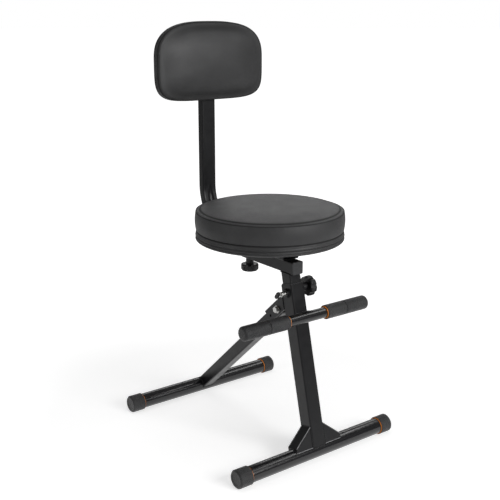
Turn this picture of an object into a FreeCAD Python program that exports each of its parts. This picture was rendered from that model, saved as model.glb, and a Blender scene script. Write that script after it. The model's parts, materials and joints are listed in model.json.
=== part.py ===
import FreeCAD, Part
import math
import os
import re
import Sketcher

# Guitar stool: two round feet on a leg that folds, a seat on a stem that slides in the front leg,
# a footrest bar, and a backrest on a bent post that slides under the seat and carries a neck hanger.
# Millimetres. X runs across the stool, Y from the front foot to the rear one, Z up from the floor.
# Distances named "back" are measured along Y from the axis of the front foot.

DRIVING_SIZES = {
    # Running and seating gaps
    "slide_gap": 0.3, "running_gap": 0.05, "seat_gap": 0.1, "weld_gap": 0.2, "hole_gap": 0.5,
    # Round feet with rubber caps and coloured rings
    "foot_diameter": 38, "foot_wall": 1.6, "foot_length": 452, "foot_spread": 468.6,
    "cap_diameter": 43.4, "cap_length": 34, "cap_end": 5, "cap_edge": 3, "cap_dish": 0.8,
    "cap_dish_rim": 4.5, "sole_depth": 0.8,
    "ring_diameter": 40.6, "ring_length": 5, "ring_proud": 1.4,
    # Front leg, its gussets and guide collar
    "leg_size": 38, "leg_wall": 1.5, "leg_corner": 3.5, "leg_tilt": 13.6, "leg_length": 393,
    "leg_setback": 2,
    "gusset_reach": 48, "gusset_height": 41, "gusset_depth": 31, "gusset_sheet": 2, "gusset_toe": 2,
    "bush_depth": 40, "bush_flange": 2.2, "bush_inset": 1,
    # Stem that slides in the leg, with its row of holes
    "stem_size": 32, "stem_wall": 1.5, "stem_corner": 3, "stem_depth": 205, "hole_pitch": 25,
    "hole_count": 7,
    # Lock pin on the left of the leg, clamp knob on the right
    "pin_drop": 19, "knob_drop": 13, "pin_diameter": 6, "pin_throw": 6,
    "boss_diameter": 20, "boss_length": 6,
    "barrel_diameter": 12, "barrel_length": 12, "barrel_edge": 1.2,
    "grip_length": 19, "grip_width": 9, "grip_depth": 7, "grip_turn": 54, "grip_edge": 1.5,
    "screw_diameter": 8, "nut_flats": 16, "nut_height": 7,
    "height_knob_diameter": 48, "height_knob_depth": 17, "height_hub_length": 12,
    "arm_knob_diameter": 43, "arm_knob_depth": 17, "arm_hub_length": 15,
    "hub_diameter": 19, "knob_edge": 4, "scallop_diameter": 15, "scallop_bite": 4.2, "lobe_count": 7,
    # Rear leg, hinge bracket and pivot
    "pivot_drop": 58.2, "pivot_behind": 26.9, "rear_leg_size": 30, "rear_leg_wall": 1.8,
    "rear_leg_corner": 3, "bracket_sheet": 3, "bracket_top": 47, "bracket_foot": 41,
    "bracket_skirt": 13, "bracket_corner": 6, "stop_gap": 0.2, "lock_hole_back": 33,
    "lock_hole_diameter": 6.5, "spacer_height": 0.9, "spacer_diameter": 20, "pivot_diameter": 8,
    "pivot_bush_diameter": 14, "bolt_flats": 13, "bolt_head": 5.5, "washer_diameter": 18,
    "washer_height": 1.6, "bolt_end": 2.5, "nut_dome": 2.6, "nut_dome_diameter": 11.5,
    # Footrest bar on the front of the leg
    "footrest_drop": 77.4, "footrest_diameter": 25, "footrest_wall": 1.5, "footrest_length": 355,
    "footrest_standoff": 3, "saddle_width": 34, "saddle_height": 22, "saddle_wrap": 7,
    "sleeve_bore_start": 55.7, "footrest_sleeve_length": 57, "footrest_rubber_diameter": 33.6,
    "footrest_cap_end": 5, "footrest_cap_edge": 6, "footrest_sleeve_edge": 1.5,
    "footrest_ring_diameter": 29.4, "footrest_ring_length": 5, "footrest_ring_proud": 1.4,
    # Seat support, arm sleeve and seat
    "stem_show": 26.6, "support_size": 30, "support_wall": 1.5, "support_corner": 3,
    "support_front_back": 77.3, "support_length": 193, "plug_flange": 3, "plug_depth": 14,
    "rear_plug_depth": 3, "plug_edge": 1, "arm_sleeve_front_back": 100, "arm_sleeve_length": 182,
    "arm_sleeve_wall": 2, "arm_sleeve_corner": 3, "arm_gap": 0.5, "arm_screw_back": 257.3,
    "seat_back": 178.9, "seat_diameter": 350, "seat_plate_size": 140, "seat_plate_sheet": 3,
    "seat_plate_rise": 10.5, "seat_tray_size": 84,
    "seat_plate_corner": 12, "seat_screw_spacing": 104, "seat_screw_diameter": 6,
    "seat_screw_head": 12, "seat_screw_head_height": 3, "seat_screw_bite": 10,
    "seat_board_diameter": 300, "seat_board_height": 12, "cushion_lift": 1.5, "cushion_foot_inset": 5,
    "lower_seam_rise": 23, "seat_band_height": 45.5, "seat_crown": 4.5, "seat_edge_roll": 18,
    "seat_edge_rise": 3, "seat_seam_depth": 2, "seat_seam_width": 3, "seat_band_bulge": 1.5,
    # Backrest post with its pressed crease
    "post_width": 40, "post_depth": 20, "post_wall": 1.5, "post_corner": 4, "bend_radius": 112,
    "post_back": 438.2, "post_rise": 478.5, "arm_front_back": 140,
    "crease_depth": 6, "crease_round": 12, "crease_spread": 50,
    # Backrest pad; runs, levels and reaches are shares of its half width and half height
    "pad_width": 306, "pad_height": 184.5, "pad_depth": 42, "pad_drop": 58.7,
    "pad_top_run": 0.607, "pad_top_level": 0.9115, "pad_top_radius": 532, "pad_upper_corner": 72.8,
    "pad_side_top": 0.136, "pad_side_foot": 0.491, "pad_foot_reach": 0.997, "pad_side_radius": 3000,
    "pad_base_run": 0.721, "pad_base_level": 0.9665, "pad_base_radius": 1974, "pad_lower_corner": 44.7,
    "pad_lip": 1.5, "pad_back_inset": 1.5, "pad_widest": 15, "pad_seam": 24, "pad_seam_inset": 2.5,
    "pad_shoulder": 32, "pad_shoulder_inset": 9, "pad_crown": 37.5, "pad_crown_inset": 24,
    "pad_crest_inset": 66,
    "pad_board_depth": 12, "pad_board_inset": 6, "pad_channel": 6,
    "pad_bolt_spacing": 60, "pad_bolt_diameter": 6, "pad_bolt_head": 11, "pad_bolt_head_height": 4,
    "pad_bolt_bite": 5,
    # Neck hanger on the rear of the post
    "hanger_drop": 25, "hanger_plate_width": 34, "hanger_plate_height": 42,
    "hanger_plate_sheet": 4, "hanger_plate_corner": 6, "hanger_arm_diameter": 16,
    "hanger_arm_length": 42, "yoke_rod": 10, "yoke_gap": 50, "yoke_prong": 38,
    "yoke_sleeve_diameter": 20, "yoke_sleeve_end": 4, "yoke_sleeve_edge": 3, "yoke_sleeve_round": 6,
}

DERIVED_SIZES = {
    "cap_radius": "cap_diameter / 2",
    "foot_height": "cap_radius - sole_depth",
    "foot_radius": "foot_diameter / 2",
    "leg_half": "leg_size / 2",
    "rear_half": "rear_leg_size / 2",
    "tilt_sin": "sin(leg_tilt)",
    "tilt_cos": "cos(leg_tilt)",
    "leg_top": "foot_height + leg_length * tilt_cos - leg_setback * tilt_sin",
    "pivot_up": "leg_length - pivot_drop",
    "footrest_up": "leg_length - footrest_drop",
    "support_bottom": "leg_top + stem_show",
    "support_top": "support_bottom + support_size",
    "arm_sleeve_width": "post_width + 2 * arm_gap + 2 * arm_sleeve_wall",
    "arm_sleeve_height": "post_depth + 2 * arm_gap + 2 * arm_sleeve_wall",
    "arm_height": "support_top + arm_sleeve_height / 2",
    "arm_sleeve_top": "support_top + arm_sleeve_height",
    "board_bottom": "arm_sleeve_top + seat_plate_rise",
    "post_top": "arm_height + post_rise",
    "pad_centre": "post_top - pad_drop",
    "hanger_height": "post_top - hanger_drop",
    "yoke_radius": "(yoke_gap + yoke_sleeve_diameter) / 2",
    "hanger_plate_back": "post_back + post_depth / 2",
    "yoke_base_back": "hanger_plate_back + hanger_plate_sheet + hanger_arm_length + yoke_rod / 2",
    "prong_back": "yoke_base_back + yoke_radius",
    "prong_end_back": "prong_back + yoke_prong",
    "rear_reach": "prong_end_back + yoke_sleeve_end",
    "front_foot_y": "-(rear_reach - cap_radius) / 2",
    "rear_foot_y": "front_foot_y + foot_spread",
    "seat_y": "front_foot_y + seat_back",
    "post_y": "front_foot_y + post_back",
    "pin_up": "leg_length - pin_drop",
    "pin_y": "front_foot_y + pin_up * tilt_sin + leg_setback * tilt_cos",
    "pin_z": "foot_height + pin_up * tilt_cos - leg_setback * tilt_sin",
    "knob_up": "leg_length - knob_drop",
    "knob_y": "front_foot_y + knob_up * tilt_sin + leg_setback * tilt_cos",
    "knob_z": "foot_height + knob_up * tilt_cos - leg_setback * tilt_sin",
    "pivot_out": "leg_setback + leg_half + pivot_behind",
    "pivot_y": "front_foot_y + pivot_up * tilt_sin + pivot_out * tilt_cos",
    "pivot_z": "foot_height + pivot_up * tilt_cos - pivot_out * tilt_sin",
    "rear_run": "rear_foot_y - pivot_y",
    "rear_rise": "pivot_z - foot_height",
    "rear_slope": "atan2(rear_rise; rear_run)",
    "rear_length": "hypot(rear_rise; rear_run)",
    "bracket_lean": "rear_slope - leg_tilt * 1deg",
    "plate_inside": "rear_half + spacer_height + seat_gap",
    "plate_outside": "plate_inside + bracket_sheet",
    "footrest_out": "leg_half - leg_setback + footrest_standoff + footrest_diameter / 2",
    "stem_reach": "(support_bottom - foot_height) / tilt_cos + stem_size",
    "nut_corner": "nut_flats / sqrt(3)",
    "bolt_corner": "bolt_flats / sqrt(3)",
}

doc = FreeCAD.newDocument("guitar_stool")
sheet = doc.addObject("Spreadsheet::Sheet", "Sizes")
PIECES = []


def fill_sheet():
    """Put each driving size and each derived one in a row of the sheet, under its own name."""
    rows = [(name, str(size)) for name, size in DRIVING_SIZES.items()]
    rows += [(name, "=" + text) for name, text in DERIVED_SIZES.items()]
    for row, (name, text) in enumerate(rows, start=1):
        sheet.set(f"A{row}", name)
        sheet.set(f"B{row}", text)
        sheet.setAlias(f"B{row}", name)
    doc.recompute()


def formula(text):
    """Write the sheet's name before each size that a formula uses."""
    def with_sheet(word):
        name = word.group(0)
        return "Sizes." + name if name in DRIVING_SIZES or name in DERIVED_SIZES else name
    return re.sub(r"[a-z][a-z0-9_]*", with_sheet, str(text))


def value(text):
    """What a formula comes to now."""
    return float(sheet.evalExpression(formula(text)))


def bind(item, **formulas):
    """Tie properties of an object to formulas; a double underscore stands for a dot."""
    for path, text in formulas.items():
        item.setExpression(path.replace("__", "."), formula(text))


def place(item, at, turn_axis=None, turn=None):
    """Put an object at a point given by formulas, turned about one axis through that point."""
    if turn_axis:
        spin = FreeCAD.Rotation(FreeCAD.Vector(*turn_axis), value(turn))
        item.Placement = FreeCAD.Placement(FreeCAD.Vector(), spin)
        bind(item, Placement__Rotation__Angle=turn)
    bind(item, Placement__Base__x=at[0], Placement__Base__y=at[1], Placement__Base__z=at[2])


def new_body(label, at=("0", "0", "0"), turn_axis=None, turn=None, piece=True):
    """An empty body, placed; a body that is only a tool or a blank isn't a piece."""
    body = doc.addObject("PartDesign::Body", label)
    body.Label = label
    place(body, at, turn_axis, turn)
    if piece:
        PIECES.append(body)
    return body


def leg_body(label, piece=True):
    """A body in the front leg's frame: origin on the foot's axis, Z up the leg."""
    return new_body(label, ("0", "front_foot_y", "foot_height"), (1, 0, 0), "-leg_tilt", piece)


def pivot_body(label, piece=True):
    """A body in the rear leg's frame: origin on the pivot, Y down the rear leg."""
    return new_body(label, ("0", "pivot_y", "pivot_z"), (1, 0, 0), "-rear_slope", piece)


def new_sketch(body, plane, lift=None):
    """A sketch on one of its body's origin planes, lifted along the plane's normal."""
    sketch = body.newObject("Sketcher::SketchObject", body.Name + "_sketch")
    support = next(f for f in body.Origin.OriginFeatures if f.Role == plane + "_Plane")
    sketch.AttachmentSupport = [(support, "")]
    sketch.MapMode = "FlatFace"
    if lift:
        bind(sketch, AttachmentOffset__Base__z=lift)
    return sketch


def pin_point(sketch, edge, end, at):
    """Fix one point of an edge at a place given by formulas."""
    for kind, text in zip(("DistanceX", "DistanceY"), at):
        index = sketch.addConstraint(Sketcher.Constraint(kind, -1, 1, edge, end, value(text)))
        bind(sketch, **{f"Constraints[{index}]": text})


def circle(sketch, diameter, at=("0", "0")):
    """A circle of a diameter about a point."""
    centre = FreeCAD.Vector(value(at[0]), value(at[1]), 0)
    radius = f"({diameter}) / 2"
    ring = sketch.addGeometry(Part.Circle(centre, FreeCAD.Vector(0, 0, 1), value(radius)))
    pin_point(sketch, ring, 3, at)
    index = sketch.addConstraint(Sketcher.Constraint("Radius", ring, value(radius)))
    bind(sketch, **{f"Constraints[{index}]": radius})


def outline(sketch, corners, closed=True):
    """A chain of lines and arcs. A corner is (x, y), or (x, y, radius, side) where an arc leads
    on from it, bulging to the right of the way along for side 1 and to the left for side -1."""
    points = [FreeCAD.Vector(value(c[0]), value(c[1]), 0) for c in corners]
    count = len(corners)
    spans = range(count if closed else count - 1)
    edges = []
    for i in spans:
        start, end = points[i], points[(i + 1) % count]
        if len(corners[i]) == 2:
            edges.append(sketch.addGeometry(Part.LineSegment(start, end)))
            continue
        radius, side = value(corners[i][2]), corners[i][3]
        chord = end - start
        rise = radius - math.sqrt(max(radius ** 2 - chord.Length ** 2 / 4, 0))
        across = FreeCAD.Vector(chord.y, -chord.x, 0).normalize()
        crest = (start + end) * 0.5 + across * (rise * side)
        edges.append(sketch.addGeometry(Part.Arc(start, crest, end)))

    def end_at(edge, point):
        return 1 if sketch.getPoint(edge, 1).distanceToPoint(point) < 1e-6 else 2

    for i, edge in enumerate(edges):
        pin_point(sketch, edge, end_at(edge, points[i]), corners[i][:2])
        following = (i + 1) % count
        if following < len(edges):
            joint = points[following]
            ends = (edge, end_at(edge, joint), edges[following], end_at(edges[following], joint))
            sketch.addConstraint(Sketcher.Constraint("Coincident", *ends))
        else:
            pin_point(sketch, edge, end_at(edge, points[following]), corners[following][:2])
        if len(corners[i]) == 4:
            index = sketch.addConstraint(Sketcher.Constraint("Radius", edge, value(corners[i][2])))
            bind(sketch, **{f"Constraints[{index}]": corners[i][2]})


def box_outline(sketch, width, height, at=("0", "0"), corner=None):
    """A rectangle about a point, which may have rounded corners."""
    x, y = at
    wide, tall = f"({width}) / 2", f"({height}) / 2"
    if corner is None:
        signs = ((1, -1), (1, 1), (-1, 1), (-1, -1))
        outline(sketch, [(f"{x} + {a} * {wide}", f"{y} + {b} * {tall}") for a, b in signs])
        return
    half_chord_x, half_chord_y = f"({wide} - {corner})", f"({tall} - {corner})"
    corners = []
    for a, b, steps in ((1, -1, "xy"), (1, 1, "yx"), (-1, 1, "xy"), (-1, -1, "yx")):
        by_x = (f"{x} + {a} * {half_chord_x}", f"{y} + {b} * {tall}")
        by_y = (f"{x} + {a} * {wide}", f"{y} + {b} * {half_chord_y}")
        first, second = (by_x, by_y) if steps == "xy" else (by_y, by_x)
        corners.append(first + (corner, 1))
        corners.append(second)
    outline(sketch, corners)


def pad(body, sketch, length, symmetric=False, backwards=False):
    """Extrude a sketch."""
    feature = body.newObject("PartDesign::Pad", body.Name + "_pad")
    feature.Profile = sketch
    feature.SideType = "Symmetric" if symmetric else "One side"
    feature.Reversed = backwards
    bind(feature, Length=length)
    return feature


def pocket(body, sketch, length=None, symmetric=False, backwards=False):
    """Cut a sketch out of a body, right through unless a length is given."""
    feature = body.newObject("PartDesign::Pocket", body.Name + "_pocket")
    feature.Profile = sketch
    feature.SideType = "Symmetric" if symmetric else "One side"
    feature.Reversed = backwards
    feature.Type = "Length" if length else "ThroughAll"
    if length:
        bind(feature, Length=length)
    return feature


def revolve(body, sketch, axis):
    """Turn a sketch a full circle about its H_Axis or V_Axis."""
    feature = body.newObject("PartDesign::Revolution", body.Name + "_turn")
    feature.Profile = sketch
    feature.ReferenceAxis = (sketch, [axis])
    feature.Angle = 360
    return feature


def pipe(body, profile, path):
    """Carry a profile along a path."""
    feature = body.newObject("PartDesign::AdditivePipe", body.Name + "_pipe")
    feature.Profile = profile
    feature.Spine = path
    return feature


def polar(body, feature, sketch, count):
    """Repeat a feature about its sketch's normal."""
    pattern = body.newObject("PartDesign::PolarPattern", body.Name + "_ring")
    pattern.Originals = [feature]
    pattern.Axis = (sketch, ["N_Axis"])
    pattern.Angle = 360
    bind(pattern, Occurrences=count)
    body.Tip = pattern
    return pattern


def round_edges(body, feature, radius, wanted):
    """Fillet the edges of a feature that a test picks."""
    doc.recompute()
    names = [f"Edge{i}" for i, edge in enumerate(feature.Shape.Edges, start=1) if wanted(edge)]
    fillet = body.newObject("PartDesign::Fillet", body.Name + "_fillet")
    fillet.Base = (feature, names)
    bind(fillet, Radius=radius)
    return fillet


def cut(label, blank, tool):
    """A piece made by cutting one object with another."""
    result = doc.addObject("Part::Cut", label)
    result.Label = label
    result.Base = blank
    result.Tool = tool
    return result


def tube_z(body, width, depth, wall, corner, length, at=("0", "0"), start=None):
    """A rectangular tube along its body's Z."""
    sketch = new_sketch(body, "XY", start)
    box_outline(sketch, width, depth, at, corner)
    box_outline(sketch, f"{width} - 2 * {wall}", f"{depth} - 2 * {wall}", at, f"({corner} - {wall})")
    return pad(body, sketch, length)


def tube_y(body, width, height, wall, corner, length, ahead=None):
    """A rectangular tube along its body's Y, from the origin or a distance ahead of it."""
    sketch = new_sketch(body, "XZ", ahead)
    box_outline(sketch, width, height, corner=corner)
    box_outline(sketch, f"{width} - 2 * {wall}", f"{height} - 2 * {wall}", corner=f"({corner} - {wall})")
    return pad(body, sketch, length, backwards=True)


def round_tube_x(body, diameter, wall, length):
    """A round tube along its body's X, centred on the origin."""
    sketch = new_sketch(body, "YZ")
    circle(sketch, diameter)
    circle(sketch, f"{diameter} - 2 * {wall}")
    return pad(body, sketch, length, symmetric=True)


def hexagon(sketch, corner_distance):
    """A regular hexagon about the origin, with two corners on the first axis."""
    turns = [(math.cos(math.radians(60 * i)), math.sin(math.radians(60 * i))) for i in range(6)]
    outline(sketch, [(f"{c:.9f} * {corner_distance}", f"{s:.9f} * {corner_distance}") for c, s in turns])


SIDES = {"left": -1, "right": 1}


# Feet

def foot(which, y):
    """One round foot tube with its caps and rings."""
    round_tube_x(new_body(f"{which}_foot_tube", ("0", y, "foot_height")),
                 "foot_diameter", "foot_wall", "foot_length")
    for side, sign in SIDES.items():
        foot_cap(f"{which}_foot_cap_{side}", y, sign)
        foot_ring(f"{which}_foot_ring_{side}", y, sign)


def foot_cap(label, y, sign):
    """Rubber cap: a cup with a wider mouth for the ring, a chamfered and dished end, a flat sole."""
    body = new_body(label, ("0", y, "foot_height"))
    sketch = new_sketch(body, "XZ")
    end = "foot_length / 2 + cap_end"
    mouth = f"({end} - cap_length)"
    seat = f"({mouth} + ring_length - ring_proud)"
    dish = "(cap_radius - cap_edge - cap_dish_rim)"
    bore = "(foot_radius + seat_gap)"
    ring_bore = "(ring_diameter / 2 + seat_gap)"
    profile = [(mouth, ring_bore), (mouth, "cap_radius"), (f"{end} - cap_edge", "cap_radius"),
               (end, "cap_radius - cap_edge"), (end, dish), (f"{end} - cap_dish", f"{dish} - cap_dish"),
               (f"{end} - cap_dish", "0"), ("foot_length / 2", "0"), ("foot_length / 2", bore),
               (seat, bore), (seat, ring_bore)]
    outline(sketch, [(f"{sign} * ({x})", z) for x, z in profile])
    revolve(body, sketch, "H_Axis")
    sole = new_sketch(body, "YZ")
    box_outline(sole, "cap_diameter", "cap_radius", ("0", "-foot_height - cap_radius / 2"))
    pocket(body, sole, symmetric=True)


def foot_ring(label, y, sign):
    """Coloured ring, seated in the cap's mouth and standing a little proud of it."""
    body = new_body(label, ("0", y, "foot_height"))
    mouth = "foot_length / 2 + cap_end - cap_length"
    sketch = new_sketch(body, "YZ", f"{sign} * ({mouth} - ring_proud)")
    circle(sketch, "ring_diameter")
    circle(sketch, "foot_diameter + 2 * seat_gap")
    pad(body, sketch, "ring_length", backwards=sign < 0)


# Front leg

def front_leg():
    """Square leg tube, coped over the foot, with a pin hole on the left and a screw hole right."""
    body = leg_body("front_leg_tube")
    tube_z(body, "leg_size", "leg_size", "leg_wall", "leg_corner", "leg_length - foot_radius / 2",
           ("0", "leg_setback"), "foot_radius / 2")
    cope = new_sketch(body, "YZ")
    circle(cope, "foot_diameter + 2 * weld_gap")
    pocket(body, cope, symmetric=True)
    setting_holes(body)


def setting_holes(body):
    """Holes through one wall each: on the left for the lock pin, on the right for the clamp screw."""
    pin_hole = new_sketch(body, "YZ")
    circle(pin_hole, "pin_diameter + 2 * hole_gap", ("leg_setback", "pin_up"))
    pocket(body, pin_hole, "leg_size")
    screw_hole = new_sketch(body, "YZ")
    circle(screw_hole, "screw_diameter + 2 * hole_gap", ("leg_setback", "knob_up"))
    pocket(body, screw_hole, "leg_size", backwards=True)


def gussets():
    """Folded sheet gussets: a sloping roof with two triangular cheeks, open to leg and foot."""
    inside = "gusset_sheet * (gusset_height + gusset_reach) / gusset_reach"
    for side, sign in SIDES.items():
        body = leg_body(f"gusset_{side}")
        triangle = new_sketch(body, "XZ")
        near, far = "leg_half + weld_gap", "leg_half + gusset_reach"
        top = "foot_radius + gusset_height"
        outline(triangle, [(f"{sign} * ({x})", z) for x, z in (
            (near, "0"), (far, "0"), (far, "foot_radius + gusset_toe"), (near, top))])
        pad(body, triangle, "gusset_depth", symmetric=True)
        hollow = new_sketch(body, "XZ")
        outline(hollow, [(f"{sign} * ({x})", z) for x, z in (
            ("leg_half", "0"), (f"{far} - gusset_sheet", "0"),
            (f"{far} - gusset_sheet", f"foot_radius + gusset_toe - {inside} + gusset_sheet"),
            ("leg_half", f"{top} - {inside}"))])
        pocket(body, hollow, "gusset_depth - 2 * gusset_sheet", symmetric=True)
        cope = new_sketch(body, "YZ")
        circle(cope, "foot_diameter + 2 * weld_gap")
        pocket(body, cope, symmetric=True)


def leg_bush():
    """Plastic collar: a sleeve between the two tubes with a flange on top of the outer one."""
    body = leg_body("leg_bush")
    at = ("0", "leg_setback")
    inside = "stem_size + 2 * slide_gap"
    inside_corner = "(stem_corner + slide_gap)"
    flange = new_sketch(body, "XY", "leg_length")
    box_outline(flange, "leg_size - 2 * bush_inset", "leg_size - 2 * bush_inset", at, "leg_corner")
    box_outline(flange, inside, inside, at, inside_corner)
    pad(body, flange, "bush_flange")
    skirt = new_sketch(body, "XY", "leg_length")
    outside = "leg_size - 2 * leg_wall - 2 * seat_gap"
    box_outline(skirt, outside, outside, at, "(leg_corner - seat_gap)")
    box_outline(skirt, inside, inside, at, inside_corner)
    pad(body, skirt, "bush_depth", backwards=True)
    setting_holes(body)


# Footrest

def footrest():
    """Cross bar on a saddle, with a grip sleeve, an end cap and a ring on each side."""
    frame = ("0", "-footrest_out", "footrest_up")
    bar = leg_body("footrest_bar")
    tube = new_sketch(bar, "YZ")
    circle(tube, "footrest_diameter", frame[1:])
    circle(tube, "footrest_diameter - 2 * footrest_wall", frame[1:])
    pad(bar, tube, "footrest_length", symmetric=True)

    saddle = leg_body("footrest_saddle")
    block = new_sketch(saddle, "YZ")
    face = "leg_setback - leg_half"
    reach = f"({face} - footrest_standoff - saddle_wrap)"
    low, high = "footrest_up - saddle_height / 2", "footrest_up + saddle_height / 2"
    outline(block, [(face, low), (face, high), (reach, "footrest_up + footrest_diameter / 2"),
                    (reach, "footrest_up - footrest_diameter / 2")])
    pad(saddle, block, "saddle_width", symmetric=True)
    cradle = new_sketch(saddle, "YZ")
    circle(cradle, "footrest_diameter + 2 * seat_gap", frame[1:])
    pocket(saddle, cradle, symmetric=True)

    for side, sign in SIDES.items():
        footrest_rubber(side, sign, frame)


def footrest_rubber(side, sign, frame):
    """The ring, inner sleeve and end cap on one side of the bar, turned about the bar's axis."""
    bore = "(footrest_diameter / 2 + seat_gap)"
    rubber = "(footrest_rubber_diameter / 2)"
    ring = "(footrest_ring_diameter / 2)"
    start = "sleeve_bore_start"
    seam = "(sleeve_bore_start + footrest_sleeve_length)"
    seat = f"({start} + footrest_ring_length - footrest_ring_proud)"
    end = "(footrest_length / 2 + footrest_cap_end)"
    edge = "footrest_sleeve_edge"
    profiles = {
        f"footrest_ring_{side}": [
            (f"{start} - footrest_ring_proud", bore), (f"{start} - footrest_ring_proud", ring),
            (f"{seat} - seat_gap", ring), (f"{seat} - seat_gap", bore)],
        f"footrest_sleeve_{side}": [
            (start, f"{ring} + seat_gap"), (start, f"{rubber} - {edge}"),
            (f"{start} + {edge}", rubber), (f"{seam} - {edge}", rubber),
            (seam, f"{rubber} - {edge}"), (seam, bore), (seat, bore), (seat, f"{ring} + seat_gap")],
        f"footrest_cap_{side}": [
            (seam, bore), (seam, f"{rubber} - {edge}"), (f"{seam} + {edge}", rubber),
            (f"{end} - footrest_cap_edge", rubber, "footrest_cap_edge", -1 * sign),
            (end, f"{rubber} - footrest_cap_edge"), (end, "0"), ("footrest_length / 2", "0"),
            ("footrest_length / 2", bore)],
    }
    for label, profile in profiles.items():
        body = new_body(label, ("0", "front_foot_y + footrest_up * tilt_sin - footrest_out * tilt_cos",
                                "foot_height + footrest_up * tilt_cos + footrest_out * tilt_sin"))
        sketch = new_sketch(body, "XZ")
        outline(sketch, [(f"{sign} * ({x})", z) + tuple(arc) for x, z, *arc in profile])
        revolve(body, sketch, "H_Axis")


# Fold

def hinge_bracket():
    """Folded channel on the leg's rear face: two cheeks for the pivot and a web that stops the leg."""
    body = pivot_body("hinge_bracket")
    roof = "(rear_half + stop_gap + bracket_sheet)"
    wall = "(pivot_behind - weld_gap)"

    def at_leg(height):
        return f"-({wall} + {height} * sin(bracket_lean)) / cos(bracket_lean)"

    cheek = new_sketch(body, "YZ")
    outline(cheek, [(at_leg("(-bracket_skirt)"), "-bracket_skirt"),
                    ("bracket_foot - bracket_corner", "-bracket_skirt", "bracket_corner", 1),
                    ("bracket_foot", "-bracket_skirt + bracket_corner"),
                    ("bracket_top", roof), (at_leg(roof), roof)])
    pad(body, cheek, "2 * plate_outside", symmetric=True)
    inside = new_sketch(body, "YZ")
    box_outline(inside, "4 * bracket_top", f"2 * {roof}", ("0", "-bracket_sheet"))
    pocket(body, inside, "2 * plate_inside", symmetric=True)
    holes = new_sketch(body, "YZ")
    circle(holes, "pivot_diameter + 2 * running_gap")
    circle(holes, "lock_hole_diameter", ("lock_hole_back", "0"))
    pocket(body, holes, symmetric=True)


def pivot_fasteners():
    """Bolt with a hexagon head on the left, lock nut right, outer washers and inner slip rings."""
    washer_face = "(plate_outside + washer_height)"
    bolt = pivot_body("pivot_bolt")
    shank = new_sketch(bolt, "YZ", f"-{washer_face}")
    circle(shank, "pivot_diameter")
    pad(bolt, shank, f"2 * {washer_face} + nut_height + nut_dome + bolt_end")
    head = new_sketch(bolt, "YZ", f"-{washer_face}")
    hexagon(head, "bolt_corner")
    pad(bolt, head, "bolt_head", backwards=True)

    nut = pivot_body("pivot_nut")
    body = new_sketch(nut, "YZ", washer_face)
    hexagon(body, "bolt_corner")
    circle(body, "pivot_diameter + 2 * running_gap")
    pad(nut, body, "nut_height")
    dome = new_sketch(nut, "YZ", f"{washer_face} + nut_height")
    circle(dome, "nut_dome_diameter")
    circle(dome, "pivot_diameter + 2 * running_gap")
    pad(nut, dome, "nut_dome")

    for label, face, height, outside in (
            ("pivot_washers", "plate_outside", "washer_height", "washer_diameter"),
            ("pivot_spacers", "(plate_inside - spacer_height)", "spacer_height", "spacer_diameter")):
        rings = []
        for side, sign in SIDES.items():
            ring = pivot_body(f"{label}_{side}", piece=False)
            sketch = new_sketch(ring, "YZ", f"{sign} * {face}")
            circle(sketch, outside)
            circle(sketch, "pivot_diameter + 2 * running_gap")
            pad(ring, sketch, height, backwards=sign < 0)
            rings.append(ring)
        group(label, rings)


def group(label, members):
    """Like pieces kept together under one name."""
    compound = doc.addObject("Part::Compound", label)
    compound.Label = label
    compound.Links = members
    PIECES.append(compound)


def rear_leg():
    """Square rear leg, its upper end rounded about the pivot, its lower end coped over the foot."""
    body = pivot_body("rear_leg_tube")
    tube_y(body, "rear_leg_size", "rear_leg_size", "rear_leg_wall", "rear_leg_corner",
           "rear_length + rear_half", "rear_half")
    trim = new_sketch(body, "YZ")
    outline(trim, [("0", "rear_half", "rear_half", 1), ("-rear_half", "0", "rear_half", 1),
                   ("0", "-rear_half"), ("0", "-rear_leg_size"), ("-rear_leg_size", "-rear_leg_size"),
                   ("-rear_leg_size", "rear_leg_size"), ("0", "rear_leg_size")])
    pocket(body, trim, symmetric=True)
    holes = new_sketch(body, "YZ")
    circle(holes, "pivot_bush_diameter + 2 * seat_gap")
    circle(holes, "lock_hole_diameter", ("lock_hole_back", "0"))
    circle(holes, "foot_diameter + 2 * weld_gap", ("rear_length", "0"))
    pocket(body, holes, symmetric=True)

    bush = pivot_body("pivot_bush")
    ring = new_sketch(bush, "YZ")
    circle(ring, "pivot_bush_diameter")
    circle(ring, "pivot_diameter + 2 * running_gap")
    pad(bush, ring, "rear_leg_size", symmetric=True)


# Height setting

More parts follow.
